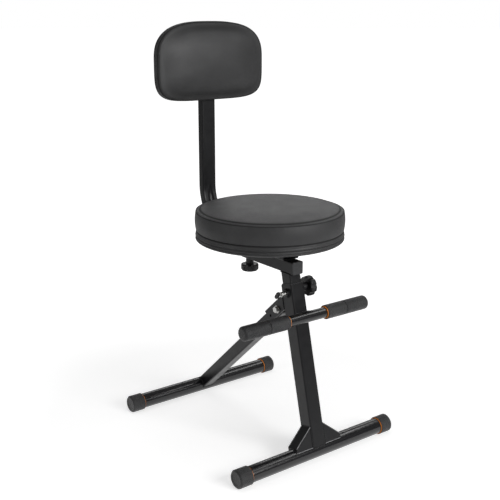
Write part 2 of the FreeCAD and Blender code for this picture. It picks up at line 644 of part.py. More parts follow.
def lock_pin():
    """Boss and barrel on the leg's left face, and the pin with its grip, which slide in them."""
    at = ("0", "pin_y", "pin_z")
    bore = "pin_diameter + 2 * running_gap"
    stand_off = "(leg_half + boss_length)"
    for label, start, length, outside in (
            ("lock_pin_boss", "-leg_half", "boss_length", "boss_diameter"),
            ("lock_pin_barrel", f"-{stand_off}", "barrel_length", "barrel_diameter")):
        body = new_body(label, at, (1, 0, 0), "-leg_tilt")
        sketch = new_sketch(body, "YZ", start)
        circle(sketch, outside)
        circle(sketch, bore)
        collar = pad(body, sketch, length, backwards=True)
        round_edges(body, collar, "barrel_edge", lambda edge, wide=outside: (
            isinstance(edge.Curve, Part.Circle) and abs(edge.Curve.Radius - value(wide) / 2) < 1e-6
            and edge.BoundBox.XMin < value(f"{start} - {length} / 2")))

    grip_face = f"({stand_off} + barrel_length + pin_throw + seat_gap)"
    pin = new_body("lock_pin", at)
    rod = new_sketch(pin, "YZ", "-(stem_size / 2 + slide_gap)")
    circle(rod, "pin_diameter")
    pad(pin, rod, f"{grip_face} - stem_size / 2 - slide_gap", backwards=True)

    grip = new_body("lock_pin_grip", at, (1, 0, 0), "-grip_turn")
    pill = new_sketch(grip, "YZ", f"-{grip_face}")
    half, run = "(grip_width / 2)", "((grip_length - grip_width) / 2)"
    outline(pill, [(f"-{run}", f"-{half}"), (run, f"-{half}", half, 1), (f"{run} + {half}", "0", half, 1),
                   (run, half), (f"-{run}", half, half, 1), (f"-{run} - {half}", "0", half, 1)])
    blank = pad(grip, pill, "grip_depth", backwards=True)
    round_edges(grip, blank, "grip_edge", lambda edge: abs(edge.BoundBox.XLength) < 1e-6)


def star_knob(label, at, turn_axis, turn, diameter, depth, hub):
    """A star knob about its own Z: hub from the origin, then a rounded head with scallops."""
    body = new_body(label, at, turn_axis, turn)
    profile = new_sketch(body, "XZ")
    rim, far = f"({diameter} / 2)", f"({hub} + {depth})"
    outline(profile, [("0", "0"), ("hub_diameter / 2", "0"), ("hub_diameter / 2", hub),
                      (f"{rim} - knob_edge", hub, "knob_edge", 1), (rim, f"{hub} + knob_edge"),
                      (rim, f"{far} - knob_edge", "knob_edge", 1), (f"{rim} - knob_edge", far),
                      ("hub_diameter / 2", far), ("0", far)])
    revolve(body, profile, "V_Axis")
    scallop = new_sketch(body, "XY")
    circle(scallop, "scallop_diameter", (f"{rim} + scallop_diameter / 2 - scallop_bite", "0"))
    bite = pocket(body, scallop, symmetric=True)
    polar(body, bite, scallop, "lobe_count")
    return body


def height_clamp():
    """Weld nut on the leg's right face, with a star knob whose screw presses on the stem."""
    at = ("0", "knob_y", "knob_z")
    nut = new_body("height_nut", at, (1, 0, 0), "-leg_tilt")
    sketch = new_sketch(nut, "YZ", "leg_half")
    hexagon(sketch, "nut_corner")
    circle(sketch, "screw_diameter + 2 * running_gap")
    pad(nut, sketch, "nut_height")
    face = "leg_half + nut_height + slide_gap"
    star_knob("height_knob", (face, "knob_y", "knob_z"), (0, 1, 0), "90",
              "height_knob_diameter", "height_knob_depth", "height_hub_length")
    screw = new_body("height_screw", at)
    rod = new_sketch(screw, "YZ", "stem_size / 2 + slide_gap")
    circle(rod, "screw_diameter")
    pad(screw, rod, f"{face} - stem_size / 2 - slide_gap")


# Seat post

def stem():
    """Square stem with its row of holes, its top cut level under the seat support."""
    blank = leg_body("stem_blank", piece=False)
    tube_z(blank, "stem_size", "stem_size", "stem_wall", "stem_corner",
           "stem_reach - leg_length + stem_depth", ("0", "leg_setback"), "leg_length - stem_depth")
    hole = new_sketch(blank, "YZ")
    circle(hole, "pin_diameter + 2 * hole_gap", ("leg_setback", "pin_up"))
    first = pocket(blank, hole, "stem_size")
    row = blank.newObject("PartDesign::LinearPattern", "stem_holes")
    row.Originals = [first]
    row.Direction = (hole, ["V_Axis"])
    row.Reversed = True
    bind(row, Length="hole_pitch * (hole_count - 1)", Occurrences="hole_count")
    blank.Tip = row

    above = doc.addObject("Part::Box", "stem_trim")
    bind(above, Length="4 * stem_size", Width="4 * stem_size", Height="4 * stem_size")
    place(above, ("-2 * stem_size", "pin_y - stem_size", "support_bottom"))
    PIECES.append(cut("stem_tube", blank, above))


def seat_support():
    """Square support tube with end plugs, and the arm sleeve and clamp nut on it."""
    screw = "(arm_screw_back - support_front_back)"
    centre = "support_bottom + support_size / 2"
    front = "front_foot_y + support_front_back"
    support = new_body("seat_support_tube", ("0", front, centre))
    tube_y(support, "support_size", "support_size", "support_wall", "support_corner", "support_length")
    hole = new_sketch(support, "XY")
    circle(hole, "screw_diameter + 2 * hole_gap", ("0", screw))
    pocket(support, hole, symmetric=True)

    for label, y, depth, inwards in (
            ("support_plug_front", front, "plug_depth", True),
            ("support_plug_rear", f"{front} + support_length", "rear_plug_depth", False)):
        plug = new_body(label, ("0", y, centre))
        flange = new_sketch(plug, "XZ")
        box_outline(flange, "support_size", "support_size", corner="support_corner")
        head = pad(plug, flange, "plug_flange", backwards=not inwards)
        out = -1 if inwards else 1
        round_edges(plug, head, "plug_edge", lambda edge, out=out: (
            abs(edge.BoundBox.YLength) < 1e-6 and edge.BoundBox.YMin * out > value("plug_flange") / 2))
        spigot = new_sketch(plug, "XZ")
        inside = "support_size - 2 * support_wall - 2 * seat_gap"
        box_outline(spigot, inside, inside, corner="(support_corner - support_wall)")
        pad(plug, spigot, depth, backwards=inwards)

    nut = new_body("arm_clamp_nut", ("0", "front_foot_y + arm_screw_back", "support_bottom + support_wall"))
    body = new_sketch(nut, "XY")
    hexagon(body, "nut_corner")
    circle(body, "screw_diameter + 2 * running_gap")
    pad(nut, body, "nut_height")

    sleeve = new_body("arm_sleeve", ("0", "front_foot_y + arm_sleeve_front_back", "arm_height"))
    tube_y(sleeve, "arm_sleeve_width", "arm_sleeve_height", "arm_sleeve_wall", "arm_sleeve_corner",
           "arm_sleeve_length")
    hole = new_sketch(sleeve, "XY")
    circle(hole, "screw_diameter + 2 * hole_gap", ("0", "arm_screw_back - arm_sleeve_front_back"))
    pocket(sleeve, hole, "arm_sleeve_height")


def seat():
    """Pressed mounting tray, screws, round board and the upholstered cushion over it."""
    plate = new_body("seat_plate", ("0", "seat_y", "arm_sleeve_top"))
    square = new_sketch(plate, "XY", "seat_plate_rise - seat_plate_sheet")
    box_outline(square, "seat_plate_size", "seat_plate_size", corner="seat_plate_corner")
    pad(plate, square, "seat_plate_sheet")
    tray = new_sketch(plate, "XY")
    box_outline(tray, "seat_tray_size", "seat_tray_size", corner="seat_plate_corner")
    pad(plate, tray, "seat_plate_rise")
    inside = "seat_tray_size - 2 * seat_plate_sheet"
    hollow = new_sketch(plate, "XY", "seat_plate_sheet")
    box_outline(hollow, inside, inside, corner="(seat_plate_corner - seat_plate_sheet)")
    pocket(plate, hollow, backwards=True)
    screw_places = [(f"{a} * seat_screw_spacing / 2", f"{b} * seat_screw_spacing / 2")
                    for a in (-1, 1) for b in (-1, 1)]
    holes = new_sketch(plate, "XY")
    for at in screw_places:
        circle(holes, "seat_screw_diameter + 2 * hole_gap", at)
    pocket(plate, holes, symmetric=True)

    screws = []
    for index, (x, y) in enumerate(screw_places):
        screw = new_body(f"seat_screw_{index}", (x, f"seat_y + {y}", "board_bottom - seat_plate_sheet"),
                         piece=False)
        head = new_sketch(screw, "XY")
        circle(head, "seat_screw_head")
        pad(screw, head, "seat_screw_head_height", backwards=True)
        shank = new_sketch(screw, "XY")
        circle(shank, "seat_screw_diameter")
        pad(screw, shank, "seat_plate_sheet + seat_screw_bite")
        screws.append(screw)
    group("seat_screws", screws)

    board = new_body("seat_board", ("0", "seat_y", "board_bottom"))
    disc = new_sketch(board, "XY")
    circle(disc, "seat_board_diameter")
    pad(board, disc, "seat_board_height")
    holes = new_sketch(board, "XY")
    for at in screw_places:
        circle(holes, "seat_screw_diameter + 2 * seat_gap", at)
    pocket(board, holes, "seat_screw_bite + seat_gap", backwards=True)

    cushion = new_body("seat_cushion", ("0", "seat_y", "board_bottom"))
    section = new_sketch(cushion, "XZ")
    rim, board_rim = "(seat_diameter / 2)", "(seat_board_diameter / 2 + seat_gap)"
    low, high = "lower_seam_rise", "(lower_seam_rise + seat_band_height)"
    half = "(seat_seam_width / 2)"
    span = "(seat_band_height / 2 - seat_seam_width / 2)"
    band_curve = f"({span} * {span} + seat_band_bulge * seat_band_bulge) / (2 * seat_band_bulge)"
    inner = f"({rim} - seat_edge_roll)"
    crown_curve = f"({inner} * {inner} + seat_crown * seat_crown) / (2 * seat_crown)"
    shoulder = f"({high} + {half} + seat_edge_rise)"
    outline(section, [
        ("0", "seat_board_height + seat_gap"), (board_rim, "seat_board_height + seat_gap"),
        (board_rim, "cushion_lift"), (f"{rim} - cushion_foot_inset", "cushion_lift"),
        (rim, f"{low} - {half}"), (f"{rim} - seat_seam_depth", low),
        (rim, f"{low} + {half}", band_curve, 1), (rim, f"{high} - {half}"),
        (f"{rim} - seat_seam_depth", high), (rim, f"{high} + {half}", "seat_edge_roll", 1),
        (inner, shoulder, crown_curve, 1), ("0", f"{shoulder} + seat_crown")])
    revolve(cushion, section, "V_Axis")


def arm_clamp():
    """Star knob under the support, with a screw that presses on the backrest's arm."""
    at = ("0", "front_foot_y + arm_screw_back", "support_bottom - slide_gap")
    star_knob("arm_knob", at, (1, 0, 0), "180", "arm_knob_diameter", "arm_knob_depth", "arm_hub_length")
    screw = new_body("arm_screw", at)
    rod = new_sketch(screw, "XY")
    circle(rod, "screw_diameter")
    pad(screw, rod, "support_size + arm_sleeve_wall + arm_gap")


# Backrest

def post_pipe(label, inset):
    """The post's outline carried along the arm, round the bend and up, drawn in by an inset."""
    body = new_body(label, ("0", "front_foot_y + arm_front_back", "arm_height"), piece=False)
    section = new_sketch(body, "XZ")
    box_outline(section, f"post_width - 2 * {inset}", f"post_depth - 2 * {inset}",
                corner=f"(post_corner - {inset})")
    path = new_sketch(body, "YZ")
    run = "(post_back - arm_front_back)"
    outline(path, [("0", "0"), (f"{run} - bend_radius", "0", "bend_radius", 1), (run, "bend_radius"),
                   (run, "post_top - arm_height")], closed=False)
    pipe(body, section, path)
    return body


def crease_ring(label, wall):
    """A ring whose rim dips into the inner side of the bend, deepest at its middle."""
    shift = "(crease_depth / (1 - cos(crease_spread)))"
    centre = f"(bend_radius - {shift} * sqrt(0.5))"
    ring = doc.addObject("Part::Torus", label)
    reach = f"bend_radius - post_depth / 2 + crease_depth - {shift}"
    bind(ring, Radius1=f"{reach} - crease_round", Radius2=f"crease_round + {wall}")
    place(ring, ("0", f"post_y - {centre}", f"arm_height + {centre}"), (0, 1, 0), "90")
    return ring


def backrest_post():
    """Bent rectangular tube with its pressed crease; the wall keeps its thickness at the crease."""
    outside = cut("post_outside", post_pipe("post_blank", "0"), crease_ring("crease_outside", "0"))
    inside = cut("post_inside", post_pipe("post_bore", "post_wall"),
                 crease_ring("crease_inside", "post_wall"))
    tube = cut("post_tube", outside, inside)
    drill = doc.addObject("Part::MultiFuse", "post_drills")
    drill.Shapes = [bolt_drill(f"post_drill_{name}", sign) for name, sign in PAD_BOLTS]
    PIECES.append(cut("backrest_post", tube, drill))


PAD_BOLTS = (("lower", -1), ("upper", 1))


def bolt_drill(label, sign):
    """Clearance for one pad bolt through the post."""
    drill = doc.addObject("Part::Cylinder", label)
    bind(drill, Radius="pad_bolt_diameter / 2 + hole_gap", Height="2 * post_depth")
    height = f"pad_centre - pad_bolt_spacing / 2 + {sign} * pad_bolt_spacing / 2"
    place(drill, ("0", "post_y + post_depth", height), (1, 0, 0), "90")
    return drill


def post_plugs():
    """Plastic plugs in the post's top and in the front end of its arm."""
    top = new_body("post_plug", ("0", "post_y", "post_top"))
    flange = new_sketch(top, "XY")
    box_outline(flange, "post_width", "post_depth", corner="post_corner")
    pad(top, flange, "plug_flange")
    spigot = new_sketch(top, "XY")
    wide, deep = ("post_width - 2 * post_wall - 2 * seat_gap", "post_depth - 2 * post_wall - 2 * seat_gap")
    box_outline(spigot, wide, deep, corner="(post_corner - post_wall)")
    pad(top, spigot, "plug_depth", backwards=True)

    arm = new_body("arm_plug", ("0", "front_foot_y + arm_front_back", "arm_height"))
    flange = new_sketch(arm, "XZ")
    box_outline(flange, "post_width", "post_depth", corner="post_corner")
    pad(arm, flange, "plug_flange")
    spigot = new_sketch(arm, "XZ")
    box_outline(spigot, wide, deep, corner="(post_corner - post_wall)")
    pad(arm, spigot, "plug_depth", backwards=True)


def backrest_pad():
    """Board on the front of the post, crowned pad on the board, and the bolts through the post."""
    back = "post_y - post_depth / 2 + pad_channel"
    board = new_body("pad_board", ("0", back, "pad_centre"))
    panel = new_sketch(board, "XZ")
    pad_outline(panel, "pad_board_inset")
    pad(board, panel, "pad_board_depth")
    post_channel(board)
    bolt_places = [("0", f"{sign} * pad_bolt_spacing / 2 - pad_bolt_spacing / 2") for _, sign in PAD_BOLTS]
    holes = new_sketch(board, "XZ")
    for at in bolt_places:
        circle(holes, "pad_bolt_diameter + 2 * seat_gap", at)
    pocket(board, holes, "pad_channel + pad_bolt_bite + seat_gap", backwards=True)

    bolts = []
    for (name, _), (x, z) in zip(PAD_BOLTS, bolt_places):
        bolt = new_body(f"pad_bolt_{name}", (x, "post_y + post_depth / 2", f"pad_centre + {z}"), piece=False)
        head = new_sketch(bolt, "XZ")
        circle(head, "pad_bolt_head")
        pad(bolt, head, "pad_bolt_head_height", backwards=True)
        shank = new_sketch(bolt, "XZ")
        circle(shank, "pad_bolt_diameter")
        pad(bolt, shank, "post_depth + pad_bolt_bite")
        bolts.append(bolt)
    group("pad_bolts", bolts)

    cushion = new_body("backrest_pad", ("0", back, "pad_centre"))
    sections = []
    for inset, depth in PAD_SECTIONS:
        sections.append(new_sketch(cushion, "XZ", depth))
        pad_outline(sections[-1], inset)
    loft = cushion.newObject("PartDesign::AdditiveLoft", "backrest_pad_loft")
    loft.Profile = sections[0]
    loft.Sections = sections[1:]
    loft.Ruled = True
    recess = new_sketch(cushion, "XZ")
    pad_outline(recess, "(pad_board_inset - seat_gap)")
    pocket(cushion, recess, "pad_board_depth + seat_gap", backwards=True)
    post_channel(cushion)


# The pad's sections from its back to its crest: how far inside the widest one, and how deep
PAD_SECTIONS = (
    ("pad_back_inset", "pad_lip"), ("0", "pad_widest"), ("pad_seam_inset", "pad_seam"),
    ("pad_shoulder_inset", "pad_shoulder"), ("pad_crown_inset", "pad_crown"),
    ("pad_crest_inset", "pad_depth"),
)


def pad_outline(sketch, inset):
    """The pad's outline drawn in by an inset: a domed top, squarer lower corners, a flatter base."""
    across, up = f"(1 - 2 * {inset} / pad_width)", f"(1 - 2 * {inset} / pad_height)"
    right = (("pad_base_run", "-pad_base_level"), ("pad_foot_reach", "-pad_side_foot"),
             ("1", "pad_side_top"), ("pad_top_run", "pad_top_level"))
    places = right + tuple((f"-{x}", z) for x, z in reversed(right))
    lower = f"pad_lower_corner * ({across} + {up}) / 2"
    upper = f"pad_upper_corner * ({across} + {up}) / 2"
    side = f"pad_side_radius * {up} * {up} / {across}"
    top, base = (f"{radius} * {across} * {across} / {up}" for radius in ("pad_top_radius", "pad_base_radius"))
    curves = (lower, side, upper, top, upper, side, lower, base)
    outline(sketch, [(f"{x} * {across} * pad_width / 2", f"{z} * {up} * pad_height / 2", curve, 1)
                     for (x, z), curve in zip(places, curves)])


def post_channel(body):
    """The channel in the back of the pad that takes the post."""
    channel = new_sketch(body, "XZ")
    top = "(post_top + plug_flange + seat_gap - pad_centre)"
    box_outline(channel, "post_width + 2 * seat_gap", f"{top} + pad_height",
                ("0", f"({top} - pad_height) / 2"))
    pocket(body, channel, "pad_channel", backwards=True)


def hanger():
    """Plate and arm on the rear of the post, with a forked yoke whose prongs wear soft sleeves."""
    plate = new_body("hanger_plate", ("0", "front_foot_y + hanger_plate_back", "hanger_height"))
    sheet_outline = new_sketch(plate, "XZ")
    box_outline(sheet_outline, "hanger_plate_width", "hanger_plate_height", corner="hanger_plate_corner")
    pad(plate, sheet_outline, "hanger_plate_sheet", backwards=True)

    plate_rear = "front_foot_y + hanger_plate_back + hanger_plate_sheet"
    arm = new_body("hanger_arm", ("0", plate_rear, "hanger_height"))
    bar = new_sketch(arm, "XZ")
    circle(bar, "hanger_arm_diameter")
    pad(arm, bar, "hanger_arm_length + yoke_rod / 2", backwards=True)
    notch = new_sketch(arm, "XY")
    circle(notch, "2 * yoke_radius + yoke_rod + 2 * seat_gap",
           ("0", "hanger_arm_length + yoke_rod / 2 + yoke_radius"))
    pocket(arm, notch, symmetric=True)

    yoke = new_body("hanger_yoke", ("0", "front_foot_y + prong_back", "hanger_height"))
    section = new_sketch(yoke, "XZ", "-yoke_prong")
    circle(section, "yoke_rod", ("-yoke_radius", "0"))
    fork = new_sketch(yoke, "XY")
    outline(fork, [("-yoke_radius", "yoke_prong"), ("-yoke_radius", "0", "yoke_radius", 1),
                   ("0", "-yoke_radius", "yoke_radius", 1), ("yoke_radius", "0"),
                   ("yoke_radius", "yoke_prong")], closed=False)
    pipe(yoke, section, fork)

    for side, sign in SIDES.items():
        sleeve = new_body(f"yoke_sleeve_{side}", (f"{sign} * yoke_radius", "front_foot_y + prong_end_back",
                                                  "hanger_height"))
        half = "(yoke_sleeve_diameter / 2)"
        bore = "(yoke_rod / 2 + seat_gap)"
        profile = new_sketch(sleeve, "XY")
        start = "(-yoke_prong)"
        outline(profile, [("0", "seat_gap"), (bore, "seat_gap"), (bore, start),
                          (f"{half} - yoke_sleeve_edge", start), (half, f"{start} + yoke_sleeve_edge"),
                          (half, "yoke_sleeve_end - yoke_sleeve_round", "yoke_sleeve_round", 1),
                          (f"{half} - yoke_sleeve_round", "yoke_sleeve_end"), ("0", "yoke_sleeve_end")])
        revolve(sleeve, profile, "V_Axis")


def write_pieces():
    """Recompute, refuse a failed object or a bad shape, and write each piece to its own file."""
    doc.recompute()
    failed = [item.Name for item in doc.Objects if {"Invalid", "Error"} & set(item.State)]
    failed += [item.Label for item in PIECES if item.Shape.isNull() or not item.Shape.isValid()]
    if failed:
        raise RuntimeError("pieces that did not build: " + ", ".join(failed))
    os.makedirs("parts", exist_ok=True)
    for item in PIECES:
        item.Shape.exportStep(f"parts/{item.Label}.step")


fill_sheet()
foot("front", "front_foot_y")
foot("rear", "rear_foot_y")
front_leg()
gussets()
leg_bush()
footrest()
hinge_bracket()
pivot_fasteners()
rear_leg()
lock_pin()
height_clamp()
stem()
seat_support()
seat()
arm_clamp()
backrest_post()
post_plugs()
backrest_pad()
hanger()
write_pieces()
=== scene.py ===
"""Finishes, upholstery and studio for a folding guitar stool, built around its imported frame.

Metres, in the frame's own axes: X across the stool, Y from the front foot to the rear one, Z up.
"""

import json
import logging
import math
from dataclasses import dataclass
from enum import Enum
from typing import Sequence

import bpy
import numpy as np
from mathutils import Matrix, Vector

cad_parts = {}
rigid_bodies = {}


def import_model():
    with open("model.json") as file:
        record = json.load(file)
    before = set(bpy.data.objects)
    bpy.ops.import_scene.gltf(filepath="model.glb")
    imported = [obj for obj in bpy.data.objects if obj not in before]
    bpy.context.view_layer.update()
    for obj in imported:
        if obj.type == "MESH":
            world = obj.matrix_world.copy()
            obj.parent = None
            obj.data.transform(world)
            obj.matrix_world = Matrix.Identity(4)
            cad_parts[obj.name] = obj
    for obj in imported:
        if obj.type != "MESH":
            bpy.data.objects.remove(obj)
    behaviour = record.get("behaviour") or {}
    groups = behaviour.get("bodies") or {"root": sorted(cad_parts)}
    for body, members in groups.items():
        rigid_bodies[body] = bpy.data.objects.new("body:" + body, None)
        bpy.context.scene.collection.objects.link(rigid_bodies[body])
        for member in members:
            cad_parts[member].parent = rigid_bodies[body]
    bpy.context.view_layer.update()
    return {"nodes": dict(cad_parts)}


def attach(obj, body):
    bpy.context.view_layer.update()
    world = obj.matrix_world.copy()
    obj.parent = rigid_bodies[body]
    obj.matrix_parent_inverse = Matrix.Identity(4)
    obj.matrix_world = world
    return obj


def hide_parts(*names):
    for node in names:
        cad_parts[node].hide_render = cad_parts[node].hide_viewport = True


for leftover in list(bpy.data.objects):
    bpy.data.objects.remove(leftover)
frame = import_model()

LOG = logging.getLogger("guitar_stool")
Array = np.ndarray
Object = bpy.types.Object
Socket = bpy.types.NodeSocket
Colour = tuple[float, float, float]
Place = tuple[float, float, float]
Pairs = tuple[tuple[float, float], ...]
Lines = tuple[tuple[float, float, float], ...]
MM = 0.001
FULL_TURN = 2.0 * np.pi
TINY = 1e-12


# Shader nodes

class Nodes:
    """Adds nodes to one tree and wires them by the names of their sockets."""

    def __init__(self, tree: bpy.types.NodeTree) -> None:
        """Keep the tree that nodes go into."""
        self.tree = tree

    @classmethod
    def of(cls, owner: bpy.types.Material | bpy.types.World) -> "Nodes":
        """Empty the tree of a new material or world.

        Args:
            owner: the material or world.

        Returns:
            Its tree, ready for nodes.
        """
        owner.use_nodes = True
        owner.node_tree.nodes.clear()
        return cls(owner.node_tree)

    def add(self, kind: str, settings: dict | None = None, **sockets: object) -> bpy.types.Node:
        """Add one node.

        Args:
            kind: the node's Blender type.
            settings: properties to set on the node itself.
            sockets: inputs by name, with _ for a space; a socket is linked, a value is set.

        Returns:
            The new node.
        """
        node = self.tree.nodes.new(kind)
        for key, value in (settings or {}).items():
            setattr(node, key, value)
        for key, value in sockets.items():
            self.feed(node.inputs[key.replace("_", " ")], value)
        return node

    def feed(self, socket: Socket, value: object) -> None:
        """Link a socket into an input, or set the input's value.

        Args:
            socket: the input.
            value: an output to link, or a plain value.
        """
        if isinstance(value, bpy.types.NodeSocket):
            self.tree.links.new(value, socket)
        else:
            socket.default_value = value

    def math(self, operation: str, *values: object) -> Socket:
        """Do one sum on one to three values.

        Args:
            operation: the sum's Blender name.
            values: outputs to link, or plain numbers.

        Returns:
            The result.
        """
        node = self.add("ShaderNodeMath", {"operation": operation})
        for socket, value in zip(node.inputs, values):
            self.feed(socket, value)
        return node.outputs[0]

    def vector(self, operation: str, *places: object, **sockets: object) -> bpy.types.Node:
        """Do one sum on one or two places.

        Args:
            operation: the sum's Blender name.
            places: outputs to link, or plain places.
            sockets: other inputs by name.

        Returns:
            The node, which gives a place or a number.
        """
        node = self.add("ShaderNodeVectorMath", {"operation": operation}, **sockets)
        for socket, place in zip(node.inputs, places):
            self.feed(socket, place)
        return node

    def share(self, first: object, second: object, part: float) -> Socket:
        """A part of one value added to the rest of another."""
        return self.math("MULTIPLY_ADD", first, part, self.math("MULTIPLY", second, 1.0 - part))

    def span(self, value: object, low: float, high: float, to_low: float = 0.0,
             to_high: float = 1.0) -> Socket:
        """A value carried from one range to another, clamped."""
        return self.add("ShaderNodeMapRange", Value=value, From_Min=low, From_Max=high,
                        To_Min=to_low, To_Max=to_high).outputs[0]

    def blend(self, factor: object, first: object, second: object) -> Socket:
        """Mix one colour with another, by a mix node's inputs 6 and 7 and output 2, which are for colours.

        Args:
            factor: the share of the second colour.
            first: a colour, or an output to link.
            second: the same.

        Returns:
            The mixed colour.
        """
        node = self.add("ShaderNodeMix", {"data_type": "RGBA"})
        for index, value in ((0, factor), (6, first), (7, second)):
            self.feed(node.inputs[index], value)
        return node.outputs[2]

    def noise(self, place: object, scale: object, detail: float = 2.0, roughness: float = 0.5) -> Socket:
        """Cloudy noise, about 0.5 on average."""
        return self.add("ShaderNodeTexNoise", Vector=place, Scale=scale, Detail=detail,
                        Roughness=roughness).outputs[0]

    def cells(self, place: object, scale: object, feature: str) -> Socket:
        """Distances in a pattern of cells."""
        return self.add("ShaderNodeTexVoronoi", {"feature": feature}, Vector=place, Scale=scale).outputs[0]

    def stretched(self, place: object, factors: Sequence[float]) -> Socket:
        """A place with each axis multiplied, so that a pattern runs long along the small ones."""
        return self.add("ShaderNodeMapping", Vector=place, Scale=tuple(factors)).outputs[0]


class Grain(Enum):
    """The small relief of a finish."""

    PEEL = "sprayed_coat_peel"
    PEBBLE = "moulded_pebble"
    HIDE = "hide_grain"
    BRUSHED = "brushed_plate"
    PLY = "plywood_layers"
    FOAM = "foam_cells"


def new_group(name: str, amount: str, results: Sequence[str]) -> tuple[Nodes, Socket, Socket]:
    """An empty node group that takes Place and one number.

    Args:
        name: the group's name.
        amount: the name of the number.
        results: the names of its outputs, which are numbers too.

    Returns:
        The group's nodes, and Place and the number as they come in.
    """
    tree = bpy.data.node_groups.new(name, "ShaderNodeTree")
    for label, kind in (("Place", "NodeSocketVector"), (amount, "NodeSocketFloat")):
        tree.interface.new_socket(name=label, in_out="INPUT", socket_type=kind)
    for label in results:
        tree.interface.new_socket(name=label, in_out="OUTPUT", socket_type="NodeSocketFloat")
    nodes = Nodes(tree)
    inside = nodes.add("NodeGroupInput").outputs
    return nodes, inside["Place"], inside[amount]


def grain_group(grain: Grain) -> bpy.types.NodeTree:
    """The node group of one relief, built once.

    Args:
        grain: which relief.

    Returns:
        A group that takes Place and Scale and gives Height and Shade, both from 0 to 1.
    """
    if grain.value in bpy.data.node_groups:
        return bpy.data.node_groups[grain.value]
    nodes, place, scale = new_group(grain.value, "Scale", ("Height", "Shade"))
    slow = nodes.math("DIVIDE", scale, 30.0)
    cloud = nodes.span(nodes.noise(place, slow, 3.0), 0.3, 0.7)
    if grain is Grain.PEEL:
        height, shade = nodes.noise(place, scale), cloud
    elif grain is Grain.PEBBLE:
        speckle = nodes.span(nodes.noise(place, nodes.math("MULTIPLY", scale, 1.6), 3.0), 0.34, 0.66)
        height = nodes.math("MULTIPLY_ADD", nodes.cells(place, scale, "SMOOTH_F1"), -0.8, speckle)
        shade = nodes.share(speckle, cloud, 0.6)
    elif grain is Grain.HIDE:
        wander = nodes.add("ShaderNodeTexNoise", Vector=place, Scale=slow, Detail=2.0).outputs[1]
        drift = nodes.vector("SCALE", wander, Scale=0.004).outputs[0]
        moved = nodes.vector("ADD", place, drift).outputs[0]
        ridge = nodes.span(nodes.cells(moved, scale, "DISTANCE_TO_EDGE"), 0.0, 0.22)
        pore = nodes.noise(place, nodes.math("MULTIPLY", scale, 3.0))
        height = nodes.math("MULTIPLY_ADD", pore, 0.35, ridge)
        shade = nodes.share(ridge, cloud, 0.55)
    elif grain is Grain.BRUSHED:
        height = nodes.noise(nodes.stretched(place, (1.0, 1.0, 0.08)), scale, 4.0)
        shade = nodes.share(height, cloud, 0.5)
    elif grain is Grain.PLY:
        layers = nodes.add("ShaderNodeTexWave", {"bands_direction": "Z"}, Vector=place, Scale=scale,
                           Distortion=0.4).outputs[1]
        height = nodes.noise(nodes.stretched(place, (1.0, 0.05, 1.0)), scale, 4.0)
        shade = nodes.share(layers, height, 0.55)
    else:
        fuzz = nodes.noise(place, nodes.math("MULTIPLY", scale, 2.0), 5.0, 0.7)
        height = nodes.math("MULTIPLY_ADD", nodes.cells(place, scale, "F1"), 0.7, fuzz)
        shade = nodes.math("MULTIPLY", height, 0.6)
    nodes.add("NodeGroupOutput", Height=height, Shade=shade)
    return nodes.tree


def handling_group() -> bpy.types.NodeTree:
    """Faint scuffs and dust, built once.

    Returns:
        A group that takes Place and Amount and gives Mask, from 0 to 1.
    """
    name = "handling_marks"
    if name in bpy.data.node_groups:
        return bpy.data.node_groups[name]
    nodes, place, amount = new_group(name, "Amount", ("Mask",))
    patches = nodes.span(nodes.noise(place, 14.0, 3.0), 0.52, 0.72)
    scratches = nodes.span(nodes.noise(nodes.stretched(place, (260.0, 420.0, 30.0)), 1.0, 3.0), 0.62, 0.74)
    dust = nodes.span(nodes.noise(place, 900.0), 0.60, 0.78)
    both_kinds = nodes.math("MAXIMUM", scratches, nodes.math("MULTIPLY", dust, 0.6))
    mask = nodes.math("MULTIPLY", nodes.math("MULTIPLY", both_kinds, patches), amount)
    nodes.add("NodeGroupOutput", Mask=mask)
    return nodes.tree


